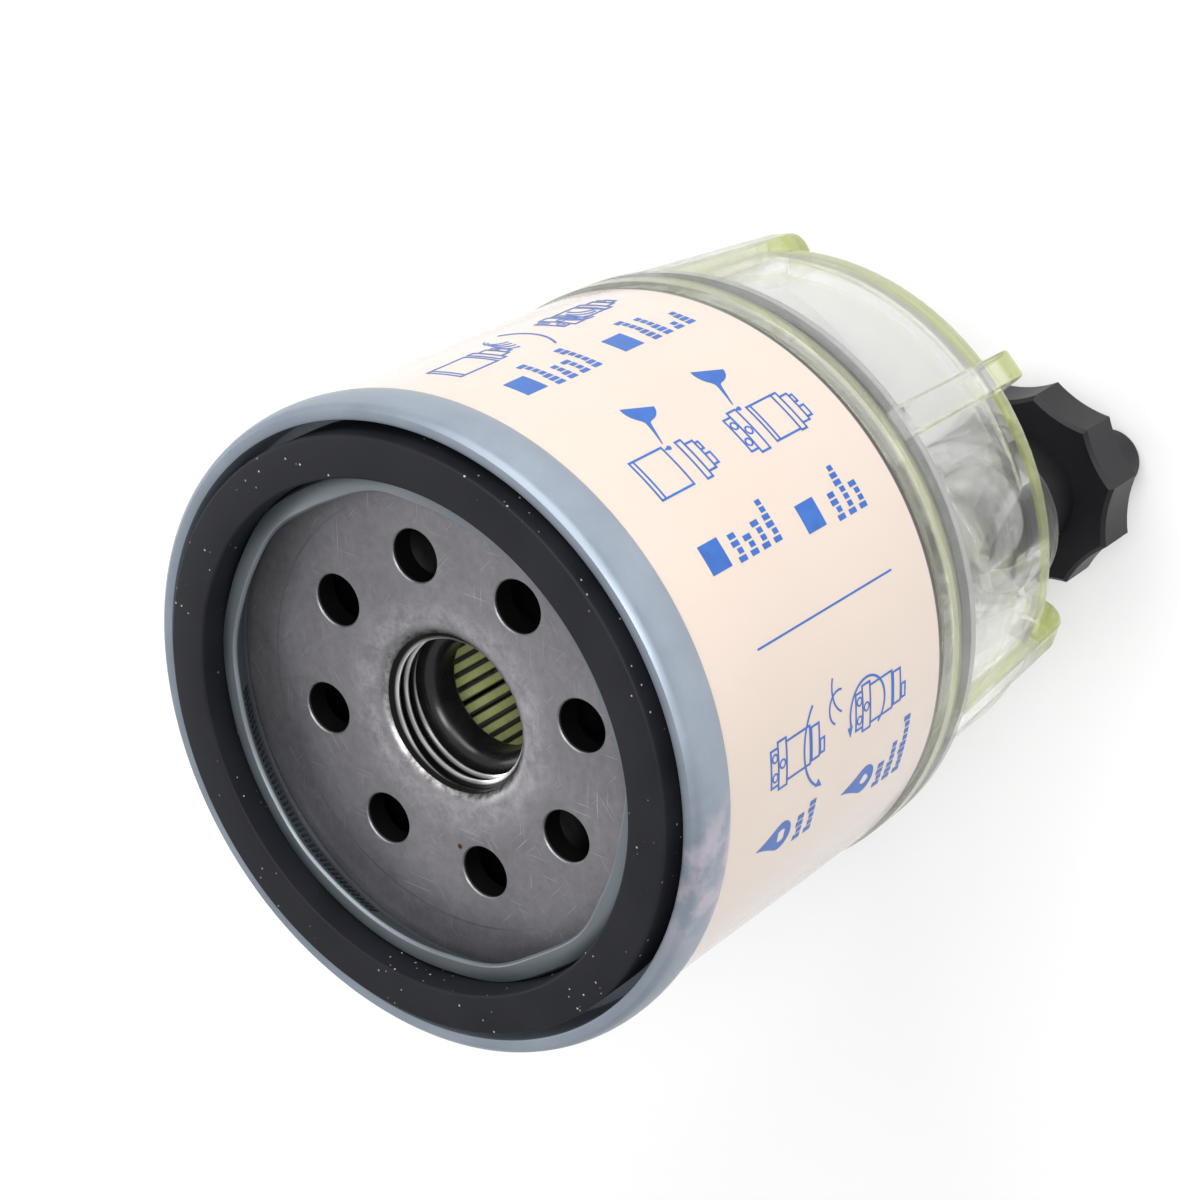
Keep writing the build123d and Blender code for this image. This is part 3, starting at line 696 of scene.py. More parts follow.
def make_clear():
    material, tree, main = shader("clear_plastic", Roughness=0.0, IOR=1.49, Transmission_Weight=1.0,
                                  Alpha=0.66)
    place = object_place(tree)
    height = height_of(tree, place)
    outside = mask(tree, from_axis(tree, place), OUTSIDE_EDGE)
    flanks = rib_flanks(tree, place, height)
    boss = both(tree, mask(tree, from_axis(tree, place, DRAIN_PLACE), BOSS_EDGE),
                mask(tree, height, BOSS_TOP))
    # painted tint: faces seen edge-on, and the ribs' flanks, turn yellow-green
    edge_on = spread(tree, add(tree, "ShaderNodeLayerWeight", Blend=0.5).outputs["Facing"], 0.86, 0.98)
    colour = blend_colours(tree, outside, BOWL_CLEAR, bands(tree, height, BAND_PAINTED_LIGHT))
    for marked, tint in ((edge_on, BOWL_EDGE), (flanks, BOWL_EDGE), (boss, BOSS_CLEAR)):
        colour = blend_colours(tree, marked, colour, tint)
    clearness = blend_colours(tree, outside, CLEAR, bands(tree, height, BAND_CLEARNESS))
    for marked, grey in ((flanks, LIGHT_GREY), (boss, CLEAR)):
        clearness = blend_colours(tree, marked, clearness, grey)
    fill(tree, main, {"Base Color": colour, "Transmission Weight": clearness})
    volume = add(tree, "ShaderNodeVolumeAbsorption", Color=BOWL_VOLUME, Density=BOWL_DENSITY)
    fill(tree, tree.nodes["Material Output"], {"Volume": volume.outputs["Volume"]})
    return material


clear_plastic = make_clear()
print("made", clear_plastic.name)

# %% [markdown]
# The knob and the plug are matte black mouldings with a spark-eroded grain, which is a fine bump
# and no more: at this size the grain only softens the highlights.

# %% Black plastic
KNOB_DARK = (0.0045, 0.0045, 0.0065)
KNOB_LIGHT = (0.008, 0.008, 0.011)


def make_black_plastic():
    material, tree, main = shader("black_plastic", Roughness=0.5, Specular_IOR_Level=0.36)
    place = object_place(tree)
    slow = noise(tree, place, 80.0)
    fill(tree, main, {"Base Color": two_tone(tree, slow, KNOB_DARK, KNOB_LIGHT),
                      "Roughness": vary(tree, slow, 0.44, 0.54)})
    bump(tree, main, noise(tree, place, 2200.0), 0.12)
    return material


black_plastic = make_black_plastic()
print("made", black_plastic.name)

# %% [markdown]
# The other metals are seen little or not at all, so one recipe serves for all of them: plain
# metal with a soft grain, in a dark and a light shade of its own.

# %% Other metals
METALS = {"tinned_sheet": ((0.42, 0.42, 0.40), (0.58, 0.58, 0.56), 0.35),
          "cast_alloy": ((0.45, 0.45, 0.46), (0.58, 0.58, 0.60), 0.5),
          "spring_wire": ((0.25, 0.25, 0.26), (0.38, 0.38, 0.39), 0.3),
          # the tooth marks' zinc is darkened as painted shade, so the small marks show as dark ticks
          "shaded_tooled_zinc": ((0.035, 0.044, 0.048), (0.070, 0.084, 0.092), 0.4),
          # the upper end cap's sheet is dark partly from oil and partly as painted shade inside the can
          "oiled_and_shaded_sheet": ((0.035, 0.036, 0.038), (0.09, 0.092, 0.095), 0.4)}


def make_metal(name, dark, light, roughness):
    material, tree, main = shader(name, Metallic=1.0, Roughness=roughness)
    grain = noise(tree, object_place(tree), 300.0, 4.0)
    fill(tree, main, {"Base Color": two_tone(tree, grain, dark, light)})
    bump(tree, main, grain, 0.06)
    return material


metal = {name: make_metal(name, *look) for name, look in METALS.items()}
print("made", ", ".join(metal))

# %% [markdown]
# The bowl, its valve, the plug, the O-rings, the paper element and the metal pieces below it
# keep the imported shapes, which are already fine enough. Modelling them again would only bring
# mistakes, so just their surfaces are finished here.

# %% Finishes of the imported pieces
finish(metal["tinned_sheet"], "pleat_clip", "lower_end_cap", "support_plate")
# dark partly from oil and partly as painted shade inside the can
finish(metal["oiled_and_shaded_sheet"], "upper_end_cap")
finish(metal["spring_wire"], "element_spring")
finish(metal["cast_alloy"], "bowl_thread_ring")
finish(filter_paper, "pleated_media")
finish(clear_plastic, "bowl")
finish(black_plastic, "drain_valve", "port_plug")
finish(black_rubber, "bowl_o_ring", "drain_o_ring", "port_plug_o_ring")

# %% [markdown]
# The can is one drawn tube with a turned-in lower end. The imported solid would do, but a can is
# the simplest thing to turn, and it shows how. Six points make its outline, one of them is
# rounded, and the faces run round in even rings, which suits a glossy paint.

# %% Can
can_low, can_high = box_mm("can_shell")
CAN_R = can_high.x
CAN_WALL = 0.7
CAN_CURL = 3.0
CAN_CORNER = 0.6


def make_can():
    foot, top = can_low.z, can_high.z
    inner = CAN_R - CAN_WALL
    outline = [(inner, foot + CAN_WALL), (CAN_R - CAN_CURL, foot + CAN_WALL), (CAN_R - CAN_CURL, foot),
               (CAN_R, foot), (CAN_R, top), (inner, top)]
    return smooth(turned_mesh("can", rounded(outline, {3: CAN_CORNER})))


piece("painted_can", make_can(), "element", cream_paint, "can_paint", "can_shell")

# %% [markdown]
# The lid's inner lip is folded by hand tools, so it isn't a true circle. It runs in straight
# stretches between soft corners. It could be sculpted, but a rule is easier to change: one
# turned outline is warped, the corners push the lip's crest out, and the foot stays round.

# %% The lip's uneven fold
SHEET = 0.6
LIP_FOOT_R = 31.3
LIP_CREST_Z = 5.45
LIP_LIMIT_R = 30.55
LIP_CORNERS = (-2.0, 34.0, 71.0, 124.0, 186.0, 217.0, 262.0, 312.0)
LIP_CORNER_SPREAD = 15.0
LIP_CORNER_PUSH = 0.5
LIP_CORNER_DIP = 0.25
LIP_SETBACK = 0.35


def lip_corner(angle):
    """How strongly a direction belongs to one of the lip's corners, from 0 to 1."""
    away = min(abs((degrees(angle) - corner + 180) % 360 - 180) for corner in LIP_CORNERS)
    near = max(0.0, 1.0 - away / LIP_CORNER_SPREAD)
    return near ** 2 * (3 - 2 * near)


def warp_lip(radius, z, angle):
    """Move a point of the lip as the fold does, and leave the rest of the lid alone."""
    if radius > LIP_FOOT_R + SHEET or z < SHEET:
        return radius, z
    share = min(1.0, z / LIP_CREST_Z)
    corner = lip_corner(angle)
    push = (corner - LIP_SETBACK) * LIP_CORNER_PUSH * share
    return min(radius + push, LIP_LIMIT_R), z - LIP_CORNER_DIP * corner * share


print("the lip has", len(LIP_CORNERS), "corners")

# %% [markdown]
# The rolled seam round the can is a full curve, and a groove inside it holds the gasket. Both
# and the lip are one piece of sheet, so they are one outline.

# %% Lid with the rolled seam
GROOVE_R = 36.7
LIP_BEND = (29.7, 4.3)
LIP_EDGE = [(30.4, 3.75), (30.55, 4.3), (30.25, 4.85), (28.1, 5.45), (27.8, 5.0), (29.3, 2.8)]
LIP_ROUND = {2: 0.25, 3: 0.15, 4: 0.2}
LID_STEPS = 360
SEAM_TOP = 6.75
SEAM_FOOT = 0.5
SEAM_R = 38.99
SEAM_GAP = 0.1
SEAM_HEM = 0.3
SEAM_FULLNESS = 0.8
SEAM_STEPS = 14
SEAM_FLAT = 0.2
EDGE_ROUND = 0.45
EDGE_NIP = 0.13


def seam_curve():
    """The seam's outer side, from its hem at the foot to its top."""
    curve = []
    for k in range(1, SEAM_STEPS):
        up = k / SEAM_STEPS
        hem = SEAM_HEM * (1 - up)
        fullness = (1 - (2 * up - 1) ** 2) ** SEAM_FULLNESS
        radius = CAN_R + SEAM_GAP * (1 - up) + hem + (SEAM_R - CAN_R - hem) * fullness
        curve.append((radius, SEAM_FOOT + up * (SEAM_TOP - SEAM_FOOT)))
    return curve


def make_lid():
    wall = GROOVE_R + SHEET
    pocket = CAN_R + SEAM_GAP
    outline = [(LIP_FOOT_R, 0.0), (wall, 0.0), (wall, SEAM_TOP - SHEET), (pocket, SEAM_TOP - SHEET),
               (pocket, SEAM_FOOT), (pocket + SEAM_HEM, SEAM_FOOT), *seam_curve(),
               (CAN_R - SEAM_FLAT, SEAM_TOP), (GROOVE_R + EDGE_ROUND, SEAM_TOP),
               (GROOVE_R + EDGE_NIP, SEAM_TOP - EDGE_NIP), (GROOVE_R, SEAM_TOP - EDGE_ROUND),
               (GROOVE_R, SHEET), (LIP_FOOT_R + SHEET, SHEET), LIP_BEND, *rounded(LIP_EDGE, LIP_ROUND)]
    return smooth(turned_mesh("lid", outline, LID_STEPS, warp_lip))


piece("rolled_lid", make_lid(), "element", zinc_sheet, "zinc_sheet", "lid_retainer")

# %% [markdown]
# The head gasket is a moulded ring. Its foot is cut back on the inside, where the lip passes,
# and its two upper edges are rounded, as the mould leaves them.

# %% Head gasket
gasket_low, gasket_high = box_mm("head_gasket")
GASKET_BORE = 30.6
GASKET_FOOT_BORE = 32.0
GASKET_NECK = 4.2
GASKET_ROUND = 0.35


def make_gasket():
    foot, top = gasket_low.z, gasket_high.z
    outline = [(GASKET_FOOT_BORE, foot), (gasket_high.x, foot), (gasket_high.x, top), (GASKET_BORE, top),
               (GASKET_BORE, GASKET_NECK)]
    return smooth(turned_mesh("gasket", rounded(outline, {2: GASKET_ROUND, 3: GASKET_ROUND})))


piece("gasket_ring", make_gasket(), "element", black_rubber, "black_rubber", "head_gasket")

# %% [markdown]
# Some things repeat round the axis: the plate's inlets and the tooth marks on the lip. A loop in
# Python would do, but a Geometry Nodes tree can be tried by hand in Blender with other numbers.
# It places copies of any piece, each one a fixed step on. Copies are realized at the end,
# because an export drops instances, and the result is kept as a plain mesh.

# %% A tree that repeats a piece round the axis


def new_group(name, **inputs):
    """A Geometry Nodes group with a geometry in and out, and one more input for each label."""
    group = bpy.data.node_groups.new(name, "GeometryNodeTree")
    group.interface.new_socket("Geometry", in_out="OUTPUT", socket_type="NodeSocketGeometry")
    for label, kind in {"Geometry": "Geometry", **inputs, "Material": "Material"}.items():
        group.interface.new_socket(label, in_out="INPUT", socket_type="NodeSocket" + kind)
    return group, group.nodes.new("NodeGroupInput").outputs


def hand_out(group, geometry, material):
    """Realize and dress the geometry, and make it the group's result."""
    real = add(group, "GeometryNodeRealizeInstances", Geometry=geometry)
    dressed = add(group, "GeometryNodeSetMaterial", Geometry=real.outputs["Geometry"], Material=material)
    add(group, "NodeGroupOutput", Geometry=dressed.outputs["Geometry"])
    return group


def make_round_tree():
    group, given = new_group("repeat_round", Count="Int", Start="Float", Step="Float")
    points = add(group, "GeometryNodePoints", Count=given["Count"])
    index = add(group, "GeometryNodeInputIndex").outputs["Index"]
    angle = maths(group, "MULTIPLY_ADD", index, given["Step"], given["Start"])
    turn = add(group, "ShaderNodeCombineXYZ", Z=angle).outputs["Vector"]
    copies = add(group, "GeometryNodeInstanceOnPoints", Points=points.outputs[0],
                 Instance=given["Geometry"], Rotation=turn)
    return hand_out(group, copies.outputs["Instances"], given["Material"])


repeat_round = make_round_tree()
print("tree", repeat_round.name, "ready")

# %% [markdown]
# A modifier is only a promise until it is applied. The helper below asks Blender for the mesh
# that an object's modifiers make, keeps it, and throws the object away. One caller runs a tree,
# the other cuts one closed mesh with another; the exact solver copes with their many facets.

# %% Applying modifiers


def new_holder(name, mesh):
    holder = bpy.data.objects.new(name, mesh)
    bpy.context.scene.collection.objects.link(holder)
    return holder


def applied(name, holder, *tools):
    """The plain mesh that the holder's modifiers make. The holder and its tools are removed."""
    bpy.context.view_layer.update()
    graph = bpy.context.evaluated_depsgraph_get()
    mesh = bpy.data.meshes.new_from_object(holder.evaluated_get(graph))
    holder.modifiers.clear()
    for obj in (holder, *tools):
        bpy.data.objects.remove(obj)
    mesh.name = name
    return mesh


def run_tree(name, source, group, values):
    """Run a Geometry Nodes group on a mesh, with its inputs given by name."""
    holder = new_holder(name, source)
    modifier = holder.modifiers.new(name, "NODES")
    modifier.node_group = group
    sockets = {item.name: item.identifier for item in group.interface.items_tree if item.in_out == "INPUT"}
    for label, value in values.items():
        modifier[sockets[label]] = value
    return applied(name, holder)


def cut_away(name, base, cutter):
    """The base without what the cutter fills."""
    holder = new_holder(name, base)
    tool = new_holder(name + "_cutter", cutter)
    modifier = holder.modifiers.new("cut", "BOOLEAN")
    modifier.operation = "DIFFERENCE"
    modifier.solver = "EXACT"
    modifier.object = tool
    return applied(name, holder, tool)


print("trees and cuts can be applied")

# %% [markdown]
# The base plate has eight inlets round a drawn collar. The plate is turned first, with its mouth
# rounded where the press drew it in. Then the tree lays eight drills round, each with a small
# bevel at its mouth, and they are cut away together.

# %% Base plate
plate_low, plate_high = box_mm("base_plate")
PLATE_T = 3.0
COLLAR_R = 12.4
COLLAR_ROUND = 0.6
THREAD_R = 9.525
MOUTH_ROUND = 1.8
INLETS = 8
INLET_R = 3.18
INLET_CIRCLE = 19.1
INLET_BEVEL = 0.14
INLET_STEPS = 64


def make_plate():
    outline = [(THREAD_R, 0), (plate_high.x, 0), (plate_high.x, -PLATE_T), (COLLAR_R, -PLATE_T),
               (COLLAR_R, plate_low.z), (THREAD_R, plate_low.z)]
    corners = {0: MOUTH_ROUND, 3: COLLAR_ROUND, 4: COLLAR_ROUND}
    wide = INLET_R + 2 * INLET_BEVEL
    drill = [(0, -2 * PLATE_T), (INLET_R, -2 * PLATE_T), (INLET_R, -INLET_BEVEL), (wide, INLET_BEVEL),
             (wide, PLATE_T), (0, PLATE_T)]
    cutter = turned_mesh("drill", drill, INLET_STEPS, centre=(INLET_CIRCLE, 0))
    inlets = run_tree("inlets", cutter, repeat_round,
                      {"Count": INLETS, "Start": 0.0, "Step": 2 * pi / INLETS, "Material": plate_steel})
    return smooth(cut_away("plate", turned_mesh("plate", rounded(outline, corners, 6)), inlets), 40)


piece("pressed_plate", make_plate(), "element", plate_steel, "plate_steel", "base_plate")

# %% [markdown]
# The grommet is a soft black bead under the thread. Its lip is fully rounded, so it catches one
# bright line of light, which a sharp outline would lose.

# %% Grommet
grommet_low, grommet_high = box_mm("centre_grommet")
GROMMET_MOUTH = 8.84
GROMMET_BORE = 7.0
GROMMET_WAIST = 10.0
GROMMET_STEP_Z = -8.0
GROMMET_BEVEL = 0.6
GROMMET_FOOT_ROUND = 0.9
GROMMET_LIP_ROUND = 1.8


def make_grommet():
    foot, top = grommet_low.z, grommet_high.z
    outline = [(GROMMET_MOUTH, top), (grommet_high.x, top), (grommet_high.x, GROMMET_STEP_Z),
               (GROMMET_WAIST, GROMMET_STEP_Z), (GROMMET_WAIST, GROMMET_STEP_Z - GROMMET_BEVEL),
               (GROMMET_WAIST + GROMMET_BEVEL, foot), (GROMMET_BORE, foot), (GROMMET_BORE, top)]
    corners = {6: GROMMET_FOOT_ROUND, 7: GROMMET_LIP_ROUND}
    return smooth(turned_mesh("grommet", rounded(outline, corners, 10)), 50)


piece("grommet_bead", make_grommet(), "element", wet_rubber, "black_rubber", "centre_grommet")

# %% [markdown]
# The head thread is a ridge that winds down the collar's bore. It could be a texture, but the
# bore is looked into, so it is real: a Geometry Nodes tree sweeps one tooth outline along a
# spiral, and the sweep's Scale makes it run out gently at both ends.

# %% The tree that winds a thread
SPIRAL_POINTS = 96
LEAST_SCALE = 0.05


def make_thread_tree():
    group, given = new_group("wind_thread", Radius="Float", Pitch="Float", Turns="Float", Foot="Float",
                             Run_out="Float")
    spiral = add(group, "GeometryNodeCurveSpiral", Resolution=SPIRAL_POINTS, Rotations=given["Turns"],
                 Start_Radius=given["Radius"], End_Radius=given["Radius"],
                 Height=both(group, given["Pitch"], given["Turns"]), Reverse=True)
    level = add(group, "GeometryNodeSetCurveNormal", {"mode": "Z_UP"}, Curve=spiral.outputs["Curve"])
    along = add(group, "GeometryNodeSplineParameter").outputs["Factor"]
    nearer = maths(group, "MINIMUM", along, maths(group, "SUBTRACT", 1.0, along))
    scale = maths(group, "MINIMUM", 1.0, maths(group, "DIVIDE", nearer, given["Run_out"]))
    tooth = add(group, "GeometryNodeMeshToCurve", Mesh=given["Geometry"])
    swept = add(group, "GeometryNodeCurveToMesh", Curve=level.outputs["Curve"],
                Profile_Curve=tooth.outputs["Curve"], Scale=maths(group, "MAXIMUM", scale, LEAST_SCALE),
                Fill_Caps=True)
    lift = add(group, "ShaderNodeCombineXYZ", Z=given["Foot"]).outputs["Vector"]
    placed = add(group, "GeometryNodeTransform", Geometry=swept.outputs["Mesh"], Translation=lift)
    return hand_out(group, placed.outputs["Geometry"], given["Material"])


wind_thread = make_thread_tree()
print("tree", wind_thread.name, "ready")

# %% [markdown]
# The tooth is a loop of edges, a little deeper than the bore's wall, so that the ridge grows out
# of the collar with no crack between them.

# %% Head thread
CREST_R = 8.75
THREAD_PITCH = 1.5875
THREAD_TURNS = 2.6
THREAD_FOOT = -5.0
THREAD_RUN_OUT = 0.12
TOOTH_ROOT = 0.25
TOOTH = ((TOOTH_ROOT, -0.70), (TOOTH_ROOT, 0.70), (0.0, 0.57), (CREST_R - THREAD_R, 0.08),
         (CREST_R - THREAD_R, -0.08), (0.0, -0.57))


def loop_mesh(name, points):
    """A closed loop of edges in the XY plane."""
    mesh = bpy.data.meshes.new(name)
    edges = [(i, (i + 1) % len(points)) for i in range(len(points))]
    mesh.from_pydata([(x * MM, y * MM, 0) for x, y in points], edges, [])
    return mesh


def cleaned(mesh, name):
    """A copy with doubles merged and faces turned outward."""
    body = bmesh.new()
    body.from_mesh(mesh)
    bmesh.ops.remove_doubles(body, verts=body.verts, dist=SAME_POINT)
    return finished_mesh(body, name)


thread = run_tree("thread", loop_mesh("tooth", TOOTH), wind_thread,
                  {"Radius": THREAD_R * MM, "Pitch": THREAD_PITCH * MM, "Turns": THREAD_TURNS,
                   "Foot": THREAD_FOOT * MM, "Run_out": THREAD_RUN_OUT, "Material": cut_steel})
thread = smooth(cleaned(thread, "thread"), 25)
print("crest radius", round(min(hypot(v.co.x, v.co.y) for v in thread.vertices) / MM, 2), "mm")
piece("head_thread", thread, "element", cut_steel, "plate_steel")

# %% [markdown]
# The folding tool left a row of short tooth marks on the inner face of the lip, over about a
# sixth of its length. One small prism leans as the lip does, and the repeating tree lays it
# round. The lip's own warp then moves each mark, so that none floats or sinks.

# %% Tooth marks on the lip
MARK_COUNT = 44
MARK_FIRST = radians(84)
MARK_STEP = radians(1.45)
MARK_LOW = (29.65, 2.3)
MARK_HIGH = (28.4, 4.05)
MARK_HALF = 0.17
MARK_RISE = 0.12
MARK_SUNK = 0.35


def mark_mesh():
    """A low prism that stands on the lip's inner face at angle zero."""
    mesh = bpy.data.meshes.new("mark")
    points = [((r + depth) * MM, side * MM, z * MM) for r, z in (MARK_LOW, MARK_HIGH)
              for depth in (-MARK_RISE, MARK_SUNK) for side in (-MARK_HALF, MARK_HALF)]
    faces = [(0, 1, 3, 2), (4, 6, 7, 5), (0, 4, 5, 1), (2, 3, 7, 6), (0, 2, 6, 4), (1, 5, 7, 3)]
    mesh.from_pydata(points, [], faces)
    return mesh


def make_marks():
    # the marks take the darkened zinc: painted shade
    marks = run_tree("marks", mark_mesh(), repeat_round,
                     {"Count": MARK_COUNT, "Start": MARK_FIRST, "Step": MARK_STEP,
                      "Material": metal["shaded_tooled_zinc"]})
    for vertex in marks.vertices:
        angle = atan2(vertex.co.y, vertex.co.x)
        radius, z = warp_lip(hypot(vertex.co.x, vertex.co.y) / MM, vertex.co.z / MM, angle)
        vertex.co = point_at(radius, angle, z)
    return cleaned(marks, "marks")


piece("lip_tooth_marks", make_marks(), "element", metal["shaded_tooled_zinc"], "zinc_sheet")

# %% [markdown]
# The can is printed in blue. The print could be an image on the paint, but an image blurs close
# up. Here each mark is a thin closed ribbon that bends with the can, so it is real ink on the
# surface. Marks are drawn flat first, as a distance round the can and a height.

# %% Ink ribbons
INK_LOW = 0.008
INK_HIGH = 0.035
INK_STEP = 1.0
SHARPEST_MITRE = 0.5
LINE_W = 0.27
ink = []


def stroke(path, width=LINE_W, closed=False):
    """Remember a ribbon. path holds (distance round the can from +X, height) in millimetres."""
    widths = width if isinstance(width, list) else [width] * len(path)
    ink.append(([Vector(point) for point in path], widths, closed))


def resample(path, widths, closed):
    """The path with no run longer than INK_STEP, and a width for each point."""
    count = len(path)
    result = []
    for i in range(count if closed else count - 1):
        k = (i + 1) % count
        parts = max(1, int((path[k] - path[i]).length / INK_STEP) + 1)
        for t in (part / parts for part in range(parts)):
            result.append((path[i].lerp(path[k], t), widths[i] + (widths[k] - widths[i]) * t))
    return result if closed else result + [(path[-1], widths[-1])]


def lay_ribbon(body, path, widths, closed):
    """Add one ribbon's closed skin, bent round the can."""
    stations = resample(path, widths, closed)
    count = len(stations)
    sections = []
    for i, (point, wide) in enumerate(stations):
        before = stations[i - 1][0] if closed or i > 0 else point
        after = stations[(i + 1) % count][0] if closed or i < count - 1 else point
        back = (point - before).normalized() if point != before else (after - point).normalized()
        ahead = (after - point).normalized() if point != after else back
        along = (back + ahead).normalized()
        side = Vector((-along.y, along.x)) / max(SHARPEST_MITRE, along.dot(ahead)) * wide / 2
        section = []
        for offset, lift in ((-1, INK_LOW), (1, INK_LOW), (1, INK_HIGH), (-1, INK_HIGH)):
            u, z = point + side * offset
            section.append(body.verts.new(point_at(CAN_R + lift, u / CAN_R, z)))
        sections.append(section)
    for i in range(count if closed else count - 1):
        here, ahead = sections[i], sections[(i + 1) % count]
        for k in range(4):
            body.faces.new((here[k], here[(k + 1) % 4], ahead[(k + 1) % 4], ahead[k]))
    if not closed:
        body.faces.new(sections[0][::-1])
        body.faces.new(sections[-1])


print("ink lines are", LINE_W, "mm wide")

# %% [markdown]
# Every sign is built from a few simple marks, each a stroke or two: a filled block, an outline,
# an arc, a ring, a drop, a funnel and an arrow's head. A stroke may change its width along the
# way, which is all that a drop or a funnel needs.

# %% Simple marks
RING_W = 0.22
DROP_ANGLES = range(8, 125, 12)
DROP_TAIL = (0.2, 0.4, 0.6, 0.8, 0.98)
DROP_TAPER = 1.3
DROP_TIP = 0.02
FUNNEL_AIM = Vector((-0.94, 0.34))
FUNNEL_WIDTHS = ((1.4, 4.6), (0.9, 4.5), (0.4, 4.1), (-0.1, 3.4), (-0.5, 2.4), (-0.8, 1.3), (-1.1, 0.7),
                 (-1.8, 0.5), (-4.4, 0.14))
ARROW_LENGTH = 1.3
ARROW_WIDTHS = [0.05, 1.04]


def at(degrees_round):
    """Distance round the can for an angle from +X."""
    return radians(degrees_round) * CAN_R


def block(u, z, wide, tall):
    """A filled rectangle from its lower left corner."""
    stroke([(u, z + tall / 2), (u + wide, z + tall / 2)], tall)


def outline_box(u, z, wide, tall):
    """The outline of a rectangle from its lower left corner."""
    stroke([(u, z), (u + wide, z), (u + wide, z + tall), (u, z + tall)], closed=True)


def arc_points(u, z, radius, start, end, steps=20):
    angles = [radians(start + (end - start) * k / steps) for k in range(steps + 1)]
    return [(u + radius * cos(angle), z + radius * sin(angle)) for angle in angles]


def ring(u, z, radius):
    stroke(arc_points(u, z, radius, 0, 360, 14)[:-1], RING_W, True)


def drop(u, z, radius, tail):
    """A filled drop: a disc that draws out upward to a point."""
    rows = [(z - radius * cos(radians(a)), radius * sin(radians(a))) for a in DROP_ANGLES]
    neck_z, neck = rows[-1]
    rows += [(neck_z + (tail - neck_z + z) * t, neck * (1 - t) ** DROP_TAPER) for t in DROP_TAIL]
    stroke([(u, height) for height, _ in rows], [2 * wide + DROP_TIP for _, wide in rows])


def funnel(u, z):
    """A filled half disc with a thin spout that points down to the left."""
    stroke([Vector((u, z)) - FUNNEL_AIM * shift for shift, _ in FUNNEL_WIDTHS],
           [wide for _, wide in FUNNEL_WIDTHS])


def arrow_head(u, z, turn):
    tip = Vector((u, z))
    away = Vector((cos(radians(turn)), sin(radians(turn))))
    stroke([tip, tip - away * ARROW_LENGTH], ARROW_WIDTHS)


print("the funnel has", len(FUNNEL_WIDTHS), "widths")

# %% [markdown]
# Larger signs are made of those marks: rows of small blocks, a plain tin, its stepped foot and
# a flanged head. They are generic, and they stand where the can is printed.

# %% Larger signs
BLOCK_TALL = (1.3, 0.9, 0.9, 1.2, 0.9)
FIRST_BLOCK = 1.35
BLOCK_W = 0.66
BLOCK_PITCH = 0.9
ROW_PITCH = 2.2
ROW_DROP = 0.65
TIN_RIM = 0.7
HEAD_PLATES = ((0.3, 1.4, 1.4), (-0.3, 3.0, 1.6))
HEAD_BOLTS = ((0.27, 0.75, 0.48), (0.73, 0.75, 0.48), (0.5, 2.2, 0.5))


def block_rows(u, z, counts):
    """Rows of small blocks of uneven height, each row lower than the last."""
    for row, count in enumerate(counts):
        for k in range(count):
            tall = BLOCK_TALL[(k * 3 + row + count) % len(BLOCK_TALL)] if k else FIRST_BLOCK
            block(u + BLOCK_PITCH * k, z - ROW_PITCH * row - ROW_DROP, BLOCK_W, tall)


def tin_sign(u, z, wide, tall):
    """Outline of a plain tin with a rim line, from its upper left corner."""
    outline_box(u, z - tall, wide, tall)
    stroke([(u, z - TIN_RIM), (u + wide, z - TIN_RIM)])


def foot_sign(u, z, wide):
    """Stepped outlines, each narrower than the one above."""
    for left, drop_to, across, tall in ((-0.2, 1.0, wide + 0.4, 1.0), (0.5, 2.4, wide - 1.0, 1.4),
                                        (0.9, 3.3, 1.5, 0.9), (wide - 1.9, 3.0, 1.0, 0.6)):
        outline_box(u + left, z - drop_to, across, tall)


def head_sign(u, z, wide):
    """A flanged head with three bolt circles."""
    for inset, below, tall in HEAD_PLATES:
        outline_box(u + inset, z - below, wide - 2 * inset, tall)
    for share, below, radius in HEAD_BOLTS:
        ring(u + wide * share, z - below, radius)


print("a row of blocks is", ROW_PITCH, "mm below the last")

# %% [markdown]
# Now the signs take their places. Each is given by its angle round the can, in degrees, and its
# height in millimetres, so that a sign can be moved without redrawing it.

# %% Squares, drops, funnels and rows
SQUARE = 3.5
DROP_SIZE = (1.85, 4.9)
SPILL_SIZE = (0.3, 0.9)
SPILL_SHIFT = (-4.9, 1.2)
DIVIDER_W = 0.24
SQUARES = ((-20.3, -9.0), (-20.5, -26.5), (-64.3, -9.1), (-66.2, -26.4))
DROPS = ((-115.3, -11.1), (-116.0, -28.3))
DIVIDER = ((-80.7, -9.1), (-80.9, -22.0), (-81.1, -35.8))
ROWS = ((-118.7, -14.8, (4, 5)), (-120.0, -31.8, (4, 6, 9)), (-67.3, -13.0, (4, 3, 4, 6)),
        (-69.5, -31.2, (4, 7, 4)), (-23.6, -12.8, (7, 4, 4, 7)), (-23.5, -30.8, (7, 6, 2, 4)))
FUNNELS = ((-37.6, -15.4), (-37.0, -29.2))

for angle, z in SQUARES:
    block(at(angle) - SQUARE / 2, z - SQUARE / 2, SQUARE, SQUARE)
for angle, z in DROPS:
    drop(at(angle), z, *DROP_SIZE)
stroke([(at(angle), z) for angle, z in DIVIDER], DIVIDER_W)
for angle, z, counts in ROWS:
    block_rows(at(angle), z, counts)
for angle, z in FUNNELS:
    funnel(at(angle), z)
    drop(at(angle) + SPILL_SHIFT[0], z + SPILL_SHIFT[1], *SPILL_SIZE)
print(len(ink), "ink marks so far")

# %% [markdown]
# The picture signs show a tin and a foot that come together, and arcs with arrow heads for the
# way they turn.

